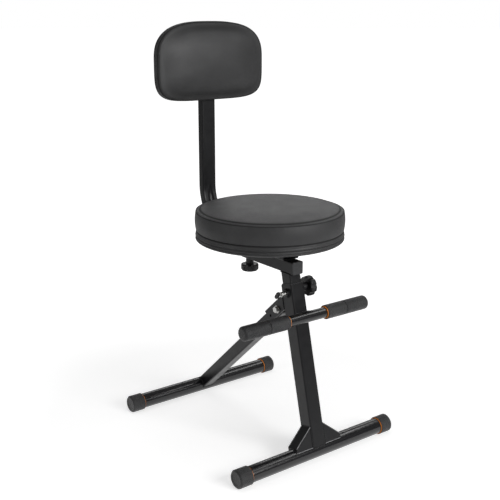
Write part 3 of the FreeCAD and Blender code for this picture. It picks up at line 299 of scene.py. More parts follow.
@dataclass(frozen=True)
class Finish:
    """One surface finish: its colour, gloss, relief and marks.

    low is the colour in the hollows, swing how far the roughness goes either way, scale the grain's
    cells in a metre, depth its depth in metres, and marks how much the handling marks show.
    """

    name: str
    slot: str
    colour: Colour
    low: Colour
    roughness: float
    swing: float
    grain: Grain
    scale: float
    depth: float
    strength: float
    marks: float = 0.0
    mark_colour: Colour = (0.16, 0.16, 0.16)
    mark_roughness: float = 0.25
    specular: float = 0.5
    metallic: float = 0.0
    coat: float = 0.0
    coat_roughness: float = 0.1
    # The colour and added roughness of painted shade in seams, creases and valleys.
    painted_shade_colour: Colour | None = None
    painted_shade_roughness: float = 0.35

    def material(self) -> bpy.types.Material:
        """Build the finish as a material, once.

        Returns:
            The material.
        """
        known = bpy.data.materials.get("finish_" + self.name)
        if known:
            return known
        material = bpy.data.materials.new("finish_" + self.name)
        nodes = Nodes.of(material)
        place = nodes.add("ShaderNodeTexCoord").outputs["Object"]
        grain = nodes.add("ShaderNodeGroup", {"node_tree": grain_group(self.grain)},
                          Place=place, Scale=self.scale).outputs
        colour = nodes.blend(grain["Shade"], self.low + (1.0,), self.colour + (1.0,))
        rough = nodes.span(grain["Shade"], 0.0, 1.0,
                           self.roughness + self.swing, self.roughness - self.swing)
        # Painted shade: the colour darkens, and roughens, where the mesh marks shade in its seams, creases
        # and valleys.
        if self.painted_shade_colour:
            painted_crease_shade = nodes.add("ShaderNodeAttribute", {"attribute_name": "painted_crease_shade"}).outputs["Fac"]
            colour = nodes.blend(painted_crease_shade, colour, self.painted_shade_colour + (1.0,))
            rough = nodes.math("MULTIPLY_ADD", painted_crease_shade, self.painted_shade_roughness, rough)
        if self.marks:
            mask = nodes.add("ShaderNodeGroup", {"node_tree": handling_group()},
                             Place=place, Amount=self.marks).outputs["Mask"]
            colour = nodes.blend(mask, colour, self.mark_colour + (1.0,))
            rough = nodes.math("MULTIPLY_ADD", mask, self.mark_roughness, rough)
        bump = nodes.add("ShaderNodeBump", Strength=self.strength, Distance=self.depth,
                         Height=grain["Height"])
        shader = nodes.add("ShaderNodeBsdfPrincipled", Base_Color=colour, Roughness=rough,
                           Normal=bump.outputs[0], Metallic=self.metallic,
                           Specular_IOR_Level=self.specular, Coat_Weight=self.coat,
                           Coat_Roughness=self.coat_roughness)
        nodes.add("ShaderNodeOutputMaterial", Surface=shader.outputs[0])
        return material


def grey(level: float, blue: float = 0.001) -> Colour:
    """A grey with a trace more blue."""
    return level, level, level + blue


POWDER_COAT = Finish(
    "powder_coat", "frame_satin", grey(0.006), grey(0.004), roughness=0.34, swing=0.05,
    grain=Grain.PEEL, scale=1500.0, depth=0.04 * MM, strength=0.30,
    marks=0.3, mark_colour=grey(0.05, 0.0), specular=0.34)
GLOSS_PAINT = Finish(
    "gloss_paint", "tube_gloss", grey(0.006), grey(0.004), roughness=0.22, swing=0.02,
    grain=Grain.PEEL, scale=500.0, depth=0.01 * MM, strength=0.10,
    marks=0.12, coat=0.3, coat_roughness=0.12)
RUBBER = Finish(
    "grained_rubber", "rubber_black", grey(0.040), grey(0.002), roughness=0.40, swing=0.14,
    grain=Grain.PEBBLE, scale=340.0, depth=1.0 * MM, strength=0.55, marks=0.5, specular=0.42)
FOAM_RUBBER = Finish(
    "foam_rubber", "foam_sleeve", grey(0.018), grey(0.007), roughness=0.82, swing=0.06,
    grain=Grain.FOAM, scale=1300.0, depth=0.5 * MM, strength=0.6, specular=0.2)
ORANGE = Finish(
    "orange_plastic", "ring_orange", (0.88, 0.29, 0.045), (0.74, 0.22, 0.030), roughness=0.38, swing=0.06,
    grain=Grain.PEEL, scale=1200.0, depth=0.05 * MM, strength=0.3,
    marks=0.3, mark_colour=(0.35, 0.2, 0.12))
PLASTIC = Finish(
    "moulded_plastic", "plastic_black", grey(0.012), grey(0.008), roughness=0.36, swing=0.06,
    grain=Grain.PEBBLE, scale=2200.0, depth=0.10 * MM, strength=0.35, marks=0.4, specular=0.45)
PLUG_PLASTIC = Finish(
    "plug_plastic", "plastic_black", grey(0.034, 0.002), grey(0.022, 0.002), roughness=0.48, swing=0.06,
    grain=Grain.PEBBLE, scale=1800.0, depth=0.14 * MM, strength=0.4, marks=0.4)
ZINC = Finish(
    "zinc_plate", "zinc", (0.66, 0.66, 0.64), (0.46, 0.46, 0.45), roughness=0.30, swing=0.10,
    grain=Grain.BRUSHED, scale=1800.0, depth=0.05 * MM, strength=0.25,
    marks=0.4, mark_colour=(0.2, 0.19, 0.17), metallic=1.0)
# The hide's painted shade is near black.
HIDE = Finish(
    "imitation_leather", "vinyl", grey(0.044), grey(0.030), roughness=0.47, swing=0.05,
    grain=Grain.HIDE, scale=850.0, depth=0.22 * MM, strength=0.30,
    marks=0.25, specular=0.40, painted_shade_colour=grey(0.003, 0.0))
# A painted highlight: a pale coat along the gusset folds, where their edges catch the light.
EDGE_HIGHLIGHT_PAINT = Finish(
    "painted_highlight_edge", "frame_satin", grey(0.34, 0.01), grey(0.16, 0.005), roughness=0.28, swing=0.06,
    grain=Grain.PEEL, scale=700.0, depth=0.05 * MM, strength=0.25,
    marks=0.2, mark_colour=grey(0.05, 0.0))
THREAD = Finish(
    "bonded_thread", "vinyl", grey(0.030), grey(0.014), roughness=0.62, swing=0.05,
    grain=Grain.BRUSHED, scale=3000.0, depth=0.1 * MM, strength=0.4)
PLYWOOD = Finish(
    "plywood", "board", (0.42, 0.29, 0.17), (0.24, 0.15, 0.08), roughness=0.68, swing=0.06,
    grain=Grain.PLY, scale=220.0, depth=0.2 * MM, strength=0.35, marks=0.3)


# Meshes worked out as arrays

def joined(*columns: object) -> Array:
    """Coordinates set side by side as points."""
    return np.stack(np.broadcast_arrays(*columns), axis=-1)


def wrapped_quads(rows: int, columns: int, close_rows: bool = False) -> Array:
    """Corner numbers of the quads of a grid whose columns run round and close.

    Args:
        rows: points along the open direction.
        columns: points round the closed direction.
        close_rows: whether the last row joins the first as well.

    Returns:
        An array of quads, four corner numbers each.
    """
    last = rows if close_rows else rows - 1
    i, j = np.meshgrid(np.arange(last), np.arange(columns), indexing="ij")
    i_next, j_next = (i + 1) % rows, (j + 1) % columns
    here, after = i * columns, i_next * columns
    return joined(here + j, here + j_next, after + j_next, after + j).reshape(-1, 4)


def closed_shell(rings: Array, start: Array, end: Array) -> tuple[Array, list]:
    """A closed skin of rings with a point at each end.

    Args:
        rings: points, one row per ring, as (rows, columns, 3).
        start: the point that closes the first ring.
        end: the point that closes the last ring.

    Returns:
        The points and the faces, which point outwards where rings run anticlockwise seen from the end.
    """
    rows, columns, _ = rings.shape
    points = np.concatenate([rings.reshape(-1, 3), start[None], end[None]])
    j = np.arange(columns)
    j_next = (j + 1) % columns
    first = joined(rows * columns, j_next, j)
    base = (rows - 1) * columns
    last = joined(rows * columns + 1, base + j, base + j_next)
    return points, wrapped_quads(rows, columns).tolist() + first.tolist() + last.tolist()


def ring_normals(rings: Array) -> Array:
    """Which way is out on a skin of rings: the cross product of its two directions.

    Args:
        rings: points, one row per ring, as (rows, columns, 3).

    Returns:
        A unit normal for each point.
    """
    along = np.gradient(rings, axis=0)
    around = np.roll(rings, -1, axis=1) - np.roll(rings, 1, axis=1)
    normal = np.cross(around, along)
    return normal / np.maximum(np.linalg.norm(normal, axis=-1, keepdims=True), TINY)


def smoothstep(value: Array, low: float, high: float) -> Array:
    """A smooth rise from 0 at low to 1 at high."""
    t = np.clip((value - low) / (high - low), 0.0, 1.0)
    return t * t * (3.0 - 2.0 * t)


def bells(place: Array, lines: Lines) -> Array:
    """Smooth bumps across a section, one for each line.

    Args:
        place: where each row lies, in metres.
        lines: the middle and width of each line in millimetres, and its height.

    Returns:
        The height of each bump at each row, as (lines, rows).
    """
    middle, width, height = np.array(lines).T[:, :, None]
    return height * np.exp(-((place - middle * MM) / (width * MM)) ** 2)


def evened(field: Array, rows: int, columns: int, passes: int = 3) -> Array:
    """A field on a grid of rings, averaged over its neighbours.

    Args:
        field: one value for each point, as (rows, columns), closed along the columns.
        rows: how many rows each way an average takes in.
        columns: how many columns each way.
        passes: how many times it is averaged.

    Returns:
        The smoother field.
    """
    for _ in range(passes):
        field = np.mean([np.roll(field, k, axis=1) for k in range(-columns, columns + 1)], axis=0)
        padded = np.pad(field, ((rows, rows), (0, 0)), mode="edge")
        field = np.mean([padded[k:k + len(field)] for k in range(2 * rows + 1)], axis=0)
    return field


def circle(radius: float, count: int) -> tuple[Array, Array]:
    """Both coordinates of points round a circle."""
    turn = np.linspace(0.0, FULL_TURN, count, endpoint=False)
    return radius * np.cos(turn), radius * np.sin(turn)


def section_length(section: Array) -> Array:
    """Length along a section from its first point to each of its points."""
    return np.concatenate([[0.0], np.cumsum(np.linalg.norm(np.diff(section, axis=0), axis=1))])


def placed(name: str, data: bpy.types.ID) -> Object:
    """Put a new object in the scene, at the origin.

    Args:
        name: the object's name.
        data: its mesh, camera or lamp.

    Returns:
        The object.
    """
    made = bpy.data.objects.new(name, data)
    bpy.context.scene.collection.objects.link(made)
    return made


def new_object(name: str, points: Array, faces: Sequence) -> Object:
    """Make a smooth mesh object at the origin, with its place in its points.

    Args:
        name: the name of the object and of its mesh.
        points: places of its points, as (count, 3).
        faces: the corner numbers of each face.

    Returns:
        The object.
    """
    mesh = bpy.data.meshes.new(name)
    mesh.from_pydata(points, [], faces)
    mesh.polygons.foreach_set("use_smooth", np.ones(len(mesh.polygons), bool))
    mesh.update()
    return placed(name, mesh)


def store_painted_shade(piece: Object, painted_crease_shade: Array) -> None:
    """Write the painted shade of each point, from 0 to 1, which the material turns into dark colour in
    seams, creases and valleys.
    """
    stored = piece.data.attributes.new("painted_crease_shade", "FLOAT", "POINT")
    stored.data.foreach_set("value", np.asarray(painted_crease_shade, np.float32))


def mesh_points(mesh: bpy.types.Mesh) -> Array:
    """Read all the points of a mesh.

    Args:
        mesh: the mesh.

    Returns:
        Their places, as (count, 3).
    """
    flat = np.empty(len(mesh.vertices) * 3, np.float32)
    mesh.vertices.foreach_get("co", flat)
    return flat.reshape(-1, 3).astype(float)


def evaluated_mesh(thing: Object) -> bpy.types.Mesh:
    """A mesh of its own with the object's modifiers applied."""
    graph = bpy.context.evaluated_depsgraph_get()
    return bpy.data.meshes.new_from_object(thing.evaluated_get(graph))


def finish_piece(piece: Object, finish: Finish, body: str) -> Object:
    """Give a piece its material, and let it ride on its body.

    Args:
        piece: the piece.
        finish: what it is finished with.
        body: the name of the body that carries it.

    Returns:
        The same piece.
    """
    piece.data.materials.clear()
    piece.data.materials.append(finish.material())
    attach(piece, body)
    LOG.info("%s: %d points, %s, rides on %s", piece.name, len(piece.data.vertices), finish.name, body)
    return piece


def swept_tube(path: Array, radius: Array, sides: int, closed: bool) -> tuple[Array, list]:
    """A round profile carried along a path.

    The profile's plane is square to the path's direction, and its first axis leans on the path's
    mean normal, so that it doesn't twist on a flat path.

    Args:
        path: points along the middle, as (count, 3).
        radius: the profile's radius at each of them.
        sides: points round the profile.
        closed: whether the path closes on itself.

    Returns:
        The points and the faces.
    """
    if closed:
        ahead = np.roll(path, -1, axis=0) - np.roll(path, 1, axis=0)
    else:
        ahead = np.gradient(path, axis=0)
    ahead /= np.linalg.norm(ahead, axis=1, keepdims=True)
    spread = np.linalg.svd(path - path.mean(axis=0))[2]
    side = np.cross(ahead, np.broadcast_to(spread[2], ahead.shape))
    side /= np.maximum(np.linalg.norm(side, axis=1, keepdims=True), TINY)
    lean = np.cross(side, ahead)
    across, up = (share[None, :, None] for share in circle(1.0, sides))
    rings = path[:, None] + (side[:, None] * across + lean[:, None] * up) * radius[:, None, None]
    if closed:
        return rings.reshape(-1, 3), wrapped_quads(len(path), sides, True).tolist()
    return closed_shell(rings, path[0], path[-1])


def along_polyline(corners: Array, step: float, closed: bool) -> Array:
    """Set points at even steps along straight runs between corners.

    Args:
        corners: the corners in order, as (count, 3).
        step: the step.
        closed: whether a last run goes back to the first corner.

    Returns:
        The points.
    """
    stops = np.concatenate([corners, corners[:1]]) if closed else corners
    length = section_length(stops)
    count = max(int(length[-1] / step), 4)
    at = np.linspace(0.0, length[-1], count, endpoint=not closed)
    return joined(*(np.interp(at, length, column) for column in stops.T))


# Upholstery

@dataclass
class Upholstery:
    """A foam form in a sewn cover, which bulges between its seams.

    Its skin is a ring for each row of its section; outer_part is where the outside begins.
    """

    body: str = ""
    cad_node: str = ""
    name: str = ""
    outer_part: str = ""
    fill: float = 0.8
    columns: int = 160
    voxel: float = 5.0 * MM
    pressure: float = 4.0
    stiffness: float = 25.0
    bending: float = 2.0
    most_movement: float = 4.0 * MM
    shrink: float = 1.5 * MM
    frames: int = 20
    even_rows: int = 2
    even_columns: int = 7
    held_width: float = 3.0 * MM

    def section(self) -> dict[str, Array]:
        """The section's rows part by part, from the hidden inner face round to the crest."""
        raise NotImplementedError

    def rings(self, rows: Array) -> Array:
        """Points of the form: one ring for each row."""
        raise NotImplementedError

    def poles(self) -> tuple[Array, Array]:
        """The points that close the form at its inner face and at its crest."""
        raise NotImplementedError

    def held(self, points: Array) -> Array:
        """Which points the board and the seams hold still."""
        raise NotImplementedError

    def sewn(self, rings: Array) -> Array:
        """The swollen form with its seams and ribs drawn in."""
        raise NotImplementedError

    def painted_shade_share(self) -> Array:
        """How much painted shade the points of each row get, from 0 to 1, in seams, creases and valleys."""
        raise NotImplementedError

    def rows(self) -> Array:
        """All the rows of the section."""
        return np.concatenate(list(self.section().values()))

    def first_row(self, part: str) -> int:
        """Find where a part of the section begins.

        Args:
            part: the part's name.

        Returns:
            The number of its first row.
        """
        section = self.section()
        names = list(section)
        return sum(len(section[name]) for name in names[:names.index(part)])

    def outer_rows(self) -> Array:
        """Which rows are on the outside, where the cover is free to bulge."""
        return np.arange(len(self.rows())) >= self.first_row(self.outer_part)

    def swell(self, rings: Array) -> Array:
        """Let the cover bulge: a cloth pass with pressure on a remeshed copy, which the rings then follow.

        Args:
            rings: the form as drawn.

        Returns:
            The rings moved out to the swollen copy, evened so that no voxel shows.
        """
        outward = ring_normals(rings)
        foam = new_object(self.name + "_foam", *closed_shell(rings - outward * self.shrink, *self.poles()))
        remesh = foam.modifiers.new("remesh", "REMESH")
        remesh.mode, remesh.voxel_size = "VOXEL", self.voxel
        even = evaluated_mesh(foam)
        foam.modifiers.clear()
        foam.data = even
        before = mesh_points(even)
        group = foam.vertex_groups.new(name="held")
        group.add(np.flatnonzero(self.held(before)).tolist(), 1.0, "REPLACE")
        cloth = foam.modifiers.new("cover", "CLOTH")
        settings = cloth.settings
        settings.vertex_group_mass = group.name
        settings.use_pressure, settings.uniform_pressure_force = True, self.pressure
        settings.effector_weights.gravity = 0.0
        settings.tension_stiffness = settings.compression_stiffness = self.stiffness
        settings.bending_stiffness = self.bending
        cloth.collision_settings.use_collision = False
        cloth.point_cache.frame_start, cloth.point_cache.frame_end = 1, self.frames
        scene = bpy.context.scene
        for step in range(1, self.frames + 1):
            scene.frame_set(step)
        swollen = evaluated_mesh(foam)
        scene.frame_set(1)
        move = mesh_points(swollen) - before
        far = np.linalg.norm(move, axis=1, keepdims=True)
        after = before + move * np.minimum(1.0, self.most_movement / np.maximum(far, TINY))
        foam.modifiers.clear()
        foam.data.vertices.foreach_set("co", after.astype(np.float32).ravel())
        foam.data.update()
        quads = wrapped_quads(*rings.shape[:2]).tolist()
        skin = new_object(self.name + "_skin", rings.reshape(-1, 3), quads)
        follow = skin.modifiers.new("follow", "SHRINKWRAP")
        follow.target, follow.wrap_method = foam, "NEAREST_SURFACEPOINT"
        moved = mesh_points(evaluated_mesh(skin)).reshape(rings.shape)
        bpy.data.objects.remove(skin)
        bpy.data.objects.remove(foam)
        push = evened(np.sum((moved - rings) * outward, axis=-1), self.even_rows, self.even_columns)
        return rings + outward * np.where(self.outer_rows()[:, None], push, 0.0)[..., None]

    def build(self) -> Object:
        """Make the covered form and put it in place of its solid.

        Returns:
            The finished piece.
        """
        rings = self.rings(self.rows())
        rings = self.swell(rings)
        rings = self.sewn(rings)
        piece = new_object(self.name, *closed_shell(rings, self.poles()[0], rings[-1].mean(axis=0)))
        # Store the painted shade of the seams, creases and valleys on the points.
        store_painted_shade(piece, np.append(np.broadcast_to(self.painted_shade_share(), rings.shape[:2]), (0.0, 0.0)))
        smooth = piece.modifiers.new("smooth", "SUBSURF")
        smooth.levels = smooth.render_levels = 1
        finish_piece(piece, HIDE, self.body)
        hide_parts(self.cad_node)
        return piece


@dataclass
class SeatCushion(Upholstery):
    """Round seat: a crowned top panel, a side band, and a ribbed lower band tucked under the board.

    In mm: edge is the top panel's roll, as insets and rises from the upper seam; bend is the room for
    the post, as levels and limits of y; relief and shades are sewn lines and lines of painted shade, each
    with its level, its width, and its height or its share of shade.

    The skin starts at the inner_share of the board, and its last ring is the pole_share of the top panel.
    band_climb gives rows of the band and their shares of its height, closer together near the seams.
    """

    body: str = "seat_post"
    cad_node: str = "seat_cushion"
    name: str = "seat_cover"
    outer_part: str = "lower"
    centre_y: float = -98.35 * MM
    rim: float = 175.0 * MM
    rim_reach: float = 9.0 * MM
    board_rim: float = 150.6 * MM
    board_top: float = 506.8 * MM
    board_bottom: float = 494.3 * MM
    hem_inner: float = 124.0 * MM
    hem_lap: float = 4.0 * MM
    hem_bottom: float = 493.4 * MM
    foot_rim: float = 172.5 * MM
    foot_top: float = 499.0 * MM
    corner_inset: float = 6.0 * MM
    corner_width: float = 8.5 * MM
    lower_seam: float = 517.6 * MM
    upper_seam: float = 563.0 * MM
    edge: Pairs = (
        (0.5, 0.5), (1.4, 1.0), (2.6, 1.4), (4.2, 1.8), (6.0, 2.2), (7.8, 2.7), (9.4, 3.5), (10.8, 4.5),
        (12.2, 5.5), (13.8, 6.3), (15.8, 6.9), (18.4, 7.2), (22.0, 7.4), (27.0, 7.55))
    inner_share: float = 0.5
    pole_share: float = 0.06
    band_climb: Pairs = ((0, 0.0), (7, 0.12), (18, 0.88), (25, 1.0))
    under_rows: int = 8
    corner_rows: int = 9
    lower_rows: int = 22
    top_rows: int = 22
    held_rim: float = 8.0 * MM
    held_rise: float = 2.0 * MM
    crown: float = 2.6 * MM
    band_bulge: float = 2.4 * MM
    tuck: int = 7
    relief: Lines = ((517.6, 1.5, -2.2), (563.0, 1.2, -1.21), (565.2, 1.4, 0.45), (560.4, 1.6, 0.36),
                     (509.4, 1.7, 0.9), (502.6, 1.7, 0.9), (506.0, 1.2, -0.72))
    # shades and tuck_shade paint shade: darker colour in the seams, the groove between the ribs and the
    # tuck.
    shades: Lines = ((517.6, 1.5, 1.0), (563.0, 1.1, 1.0), (506.0, 1.2, 0.5))
    tuck_shade: Lines = ((0.0, 2.2, 0.75),)
    groove: float = 506.0 * MM
    stitch_pitch: float = 5.2 * MM
    stitch_length: float = 3.8 * MM
    stitch_radius: float = 0.42 * MM
    stitch_inset: float = 0.45 * MM
    bend: Pairs = ((490.0, 58.0), (494.0, 66.2), (498.0, 73.0), (502.0, 78.7))
    bend_half_width: float = 22.0 * MM
    bend_fade: float = 8.0 * MM

    def section(self) -> dict[str, Array]:
        """Draw the section from the board's top face round to the crest.

        Returns:
            Radius and height of each row, part by part.
        """
        start = self.inner_share * self.board_rim
        inner = np.array([[start, self.board_top], [self.board_rim, self.board_top],
                          [self.board_rim, self.board_bottom], [self.hem_inner, self.board_bottom],
                          [self.hem_inner, self.hem_bottom]])
        corner_start = self.foot_rim - self.corner_inset
        under = np.linspace([self.hem_inner + self.hem_lap, self.hem_bottom],
                            [corner_start, self.hem_bottom], self.under_rows)
        turn = np.linspace(0.0, np.pi / 2, self.corner_rows)
        corner = joined(corner_start + self.corner_width * np.sin(turn),
                        self.foot_top - (self.foot_top - self.hem_bottom) * np.cos(turn))
        lower = np.linspace(corner[-1], [self.rim, self.lower_seam], self.lower_rows)[1:]
        number, share = np.array(self.band_climb).T
        climb = np.interp(np.arange(1, number[-1] + 1), number, share)
        band = joined(self.rim + self.band_bulge * np.sin(np.pi * climb),
                      self.lower_seam + (self.upper_seam - self.lower_seam) * climb)
        roll = np.array([self.rim, self.upper_seam]) + np.array(self.edge) * (-MM, MM)
        inside = np.linspace(1.0, self.pole_share, self.top_rows)[1:]
        top = joined(roll[-1, 0] * inside, roll[-1, 1] + self.crown * (1.0 - inside ** 2))
        return {"inner": inner, "under": under, "corner": corner, "lower": lower, "band": band,
                "roll": roll, "top": top}

    def rings(self, rows: Array) -> Array:
        """Turn the section about the seat's axis.

        Args:
            rows: radius and height of each row.

        Returns:
            A circle of points for each row.
        """
        across, behind = circle(1.0, self.columns)
        radius, height = rows[:, :1], rows[:, 1:]
        return joined(radius * across, self.centre_y + radius * behind, height)

    def poles(self) -> tuple[Array, Array]:
        """The axis at the board's top face and at the crest."""
        return (np.array([0.0, self.centre_y, self.board_top]),
                np.array([0.0, self.centre_y, self.rows()[-1, 1]]))

    def held(self, points: Array) -> Array:
        """Hold the underside and the two seams.

        Args:
            points: places on the form.

        Returns:
            Whether each of them is held.
        """
        height = points[:, 2]
        radius = np.hypot(points[:, 0], points[:, 1] - self.centre_y)
        near_rim = radius > self.rim - self.held_rim
        from_seam = np.minimum(np.abs(height - self.upper_seam), np.abs(height - self.lower_seam))
        return (height < self.foot_top + self.held_rise) | (near_rim & (from_seam < self.held_width))

    def rim_rows(self) -> Array:
        """Which rows lie on the outside close to the rim, where the lines are sewn."""
        return self.outer_rows() & (self.rows()[:, 0] > self.rim - self.rim_reach)

    def painted_shade_share(self) -> Array:
        """Paint shade into the seams, the groove between the ribs, and the tuck where the top panel meets
        the ledge.

        Returns:
            The share of shade of each row, as (rows, 1).
        """
        rows = self.rows()
        lines = np.where(self.rim_rows(), bells(rows[:, 1], self.shades).max(axis=0), 0.0)
        along = section_length(rows)
        from_tuck = along - along[self.first_row("roll") + self.tuck]
        return np.maximum(lines, bells(from_tuck, self.tuck_shade)[0])[:, None]

    def sewn(self, rings: Array) -> Array:
        """Pull seams in along the two sewn levels, with a lip over the upper one and two ribs below.

        Args:
            rings: the swollen form.

        Returns:
            The sewn form.
        """
        depth = bells(self.rows()[:, 1], self.relief).sum(axis=0) * MM
        depth = np.where(self.rim_rows(), depth, 0.0)
        return self.cleared(rings + ring_normals(rings) * depth[:, None, None])

    def cleared(self, rings: Array) -> Array:
        """Make room at the rear of the lower edge for the post's bend when the backrest is right in.

        Behind the middle, y is held to a limit that rises with z as the inner side of the bend does.

        Args:
            rings: the sewn form.

        Returns:
            The form with that room.
        """
        x, y, z = rings[..., 0], rings[..., 1], rings[..., 2]
        levels, room = np.array(self.bend).T * MM
        limit = np.interp(z, levels, room)
        gate = 1.0 - smoothstep(np.abs(x), self.bend_half_width, self.bend_half_width + self.bend_fade)
        held = np.minimum(y, limit * gate + np.maximum(y, limit) * (1.0 - gate))
        return joined(x, np.where(z < levels[-1], held, y), z)

    def stitches(self) -> Object:
        """A row of thread stitches in the groove between the ribs of the lower band.

        Returns:
            The piece that holds the whole row.
        """
        lower = self.section()["lower"]
        radius = np.interp(self.groove, lower[:, 1], lower[:, 0]) - self.stitch_inset
        count = int(FULL_TURN * radius / self.stitch_pitch)
        across, behind = circle(1.0, count)
        centre = joined(radius * across, self.centre_y + radius * behind, self.groove)
        ahead = joined(-behind, across, 0.0)
        points, faces = thread_row(centre, ahead, self.stitch_length, self.stitch_radius)
        return finish_piece(new_object("seat_stitches", points, faces), THREAD, self.body)


def thread_row(centre: Array, ahead: Array, length: float, radius: float) -> tuple[Array, list]:
    """Stitches that lie level: one short spindle repeated, each a hexagonal ring pinched at both ends.

    Args:
        centre: middle of each stitch.
        ahead: unit direction of each stitch.
        length: length of a stitch.
        radius: radius of the thread.

    Returns:
        The points and the faces of them all.
    """
    sides, shares = 6, np.array([-1.0, -0.8, 0.8, 1.0])
    widths = np.array([0.35, 1.0, 1.0, 0.35])
    up = np.cross(ahead, np.array([0.0, 0.0, 1.0]))
    side = np.cross(ahead, up)
    first, second = (share[None, :, None] for share in circle(1.0, sides))
    spokes = up[:, None] * first + side[:, None] * second
    rings = (centre[:, None, None] + ahead[:, None, None] * (0.5 * length * shares)[None, :, None, None]
             + spokes[:, None] * (radius * widths)[None, :, None, None])
    ends = [[0, 3, 2, 1], [0, 5, 4, 3], [18, 19, 20, 21], [18, 21, 22, 23]]
    one = np.concatenate([wrapped_quads(len(shares), sides), ends])
    size = len(shares) * sides
    faces = (one[None] + (np.arange(len(centre)) * size)[:, None, None]).reshape(-1, 4)
    return rings.reshape(-1, 3), faces.tolist()


@dataclass
class BackrestPad(Upholstery):
    """Backrest pad: a banded rim and a crowned front panel on a board, its lower corners squarer.

    In mm: edge is the front panel's edge, as insets and rises from the band, sewn at its seam_row. Reliefs
    are sewn lines and shades are lines of painted shade, each with its middle, its width, and its height or
    its share of shade: the band's are placed from the back, the seam's and the valley's from the sewn row.

    The skin starts on the board, inset by the inner_share of half the height. The back is held up to the
    depth held_back, and the seam wherever it lies beyond the held_reach of the way to the rim.
    """

    body: str = "backrest"
    cad_node: str = "backrest_pad"
    name: str = "backrest_cover"
    outer_part: str = "band"
    columns: int = 192
    back_y: float = 156.95 * MM
    half_width: float = 153.2 * MM
    half_height: float = 92.3 * MM
    centre_z: float = 891.3 * MM
    upper_exponent: float = 2.87
    lower_exponent: float = 5.0
    even_inset: float = 8.0 * MM
    board_inset: float = 7.5 * MM
    board_depth: float = 12.2 * MM
    board_back: float = 0.2 * MM
    hem_inset: float = 20.0 * MM
    hem_lap: float = 2.0 * MM
    hem_level: float = -0.7 * MM
    lip_inset: float = 1.2 * MM
    lip_width: float = 4.3 * MM
    lip_height: float = 4.2 * MM
    channel_depth: float = 6.6 * MM
    channel_half_width: float = 20.6 * MM
    channel_fade: float = 2.0 * MM
    post_top: float = 953.5 * MM
    widest: float = 14.0 * MM
    front_bow: float = 0.9
    seam: float = 20.0 * MM
    edge: Pairs = (
        (0.2, 0.3), (0.6, 0.5), (1.0, 0.6), (1.4, 0.7), (1.7, 1.9), (2.2, 3.1), (3.0, 4.0), (4.2, 4.7),
        (6.0, 5.1), (8.6, 5.2), (12.5, 5.3), (18.0, 6.6), (26.0, 9.6), (36.0, 13.4), (48.0, 17.0))
    inner_share: float = 0.6
    hem_rows: int = 6
    lip_rows: int = 8
    band_rows: int = 26
    top_rows: int = 18
    held_back: float = 5.0 * MM
    held_reach: float = 0.6
    crown: float = 4.6 * MM
    seam_row: int = 3
    rim_reach: float = 12.0 * MM
    band_relief: Lines = ((14.4, 2.4, 1.4), (8.6, 1.8, -0.98))
    # The shades paint shade: darker colour in the band's fold, the seam, and a valley inside the upper and
    # lower edges.
    band_shade: Lines = ((8.6, 1.6, 0.35),)
    seam_relief: Lines = ((0.0, 1.4, -3.0),)
    seam_shade: Lines = ((0.2, 2.6, 1.0),)
    valley_shade: Lines = ((14.0, 12.0, 0.75),)

    def section(self) -> dict[str, Array]:
        """Draw the section from the board's front face round the rim to the crest.

        Returns:
            Inset and depth of each row, part by part.
        """
        start = self.inner_share * self.half_height
        inner = np.array([[start, self.board_depth], [self.board_inset, self.board_depth],
                          [self.board_inset, self.board_back], [self.hem_inset, self.board_back],
                          [self.hem_inset, self.hem_level]])
        hem = np.linspace([self.hem_inset - self.hem_lap, self.hem_level],
                          [self.lip_inset + self.lip_width, self.hem_level], self.hem_rows)
        turn = np.linspace(0.0, np.pi / 2, self.lip_rows)[1:]
        lip = joined(self.lip_inset + self.lip_width * (1.0 - np.sin(turn)),
                     self.hem_level + self.lip_height * (1.0 - np.cos(turn)))
        depth = np.linspace(lip[-1, 1], self.seam, self.band_rows)[1:]
        bow = self.lip_inset * ((depth - self.widest) / (lip[-1, 1] - self.widest)) ** 2
        band = joined(bow * np.where(depth < self.widest, 1.0, self.front_bow), depth)
        roll = band[-1] + np.array(self.edge) * MM
        inside = np.linspace(0.0, 1.0, self.top_rows)[1:-1]
        top = joined(roll[-1, 0] + (self.half_height - roll[-1, 0]) * inside,
                     roll[-1, 1] + self.crown * (1.0 - (1.0 - inside) ** 2))
        return {"inner": inner, "hem": hem, "lip": lip, "band": band, "roll": roll, "top": top}

    def rings(self, rows: Array) -> Array:
        """Draw each row as an outline: a superellipse, rounder above its middle than below.

        x is a |cos|^(2/n) and z is b |sin|^(2/n), where n is one exponent above and one below.
        Insets near the rim are even all round, and further in they shrink both ways in proportion.

        Args:
            rows: inset and depth of each row.

        Returns:
            An outline of points for each row.
        """
        cosine, sine = circle(1.0, self.columns)
        power = 2.0 / np.where(sine >= 0.0, self.upper_exponent, self.lower_exponent)
        inset, depth = rows[:, :1], rows[:, 1:]
        ratio = self.half_width / self.half_height
        share = smoothstep(inset, self.even_inset, self.half_height)
        wide = self.half_width - inset * (1.0 + share * (ratio - 1.0))
        x = wide * np.sign(cosine) * np.abs(cosine) ** power
        z = (self.half_height - inset) * np.sign(sine) * np.abs(sine) ** power
        return joined(-x, self.back_y - depth, self.centre_z + z)

    def poles(self) -> tuple[Array, Array]:
        """The middle of the board's front face and of the crest."""
        return (np.array([0.0, self.back_y - self.board_depth, self.centre_z]),
                np.array([0.0, self.back_y - self.rows()[-1, 1], self.centre_z]))

    def held(self, points: Array) -> Array:
        """Hold the back, and the seam at the front of the band.

        Args:
            points: places on the form.

        Returns:
            Whether each of them is held.
        """
        depth = self.back_y - points[:, 1]
        reach = np.maximum(np.abs(points[:, 0]) / self.half_width,
                           np.abs(points[:, 2] - self.centre_z) / self.half_height)
        at_seam = (np.abs(depth - self.seam) < self.held_width) & (reach > self.held_reach)
        return (depth < self.held_back) | at_seam

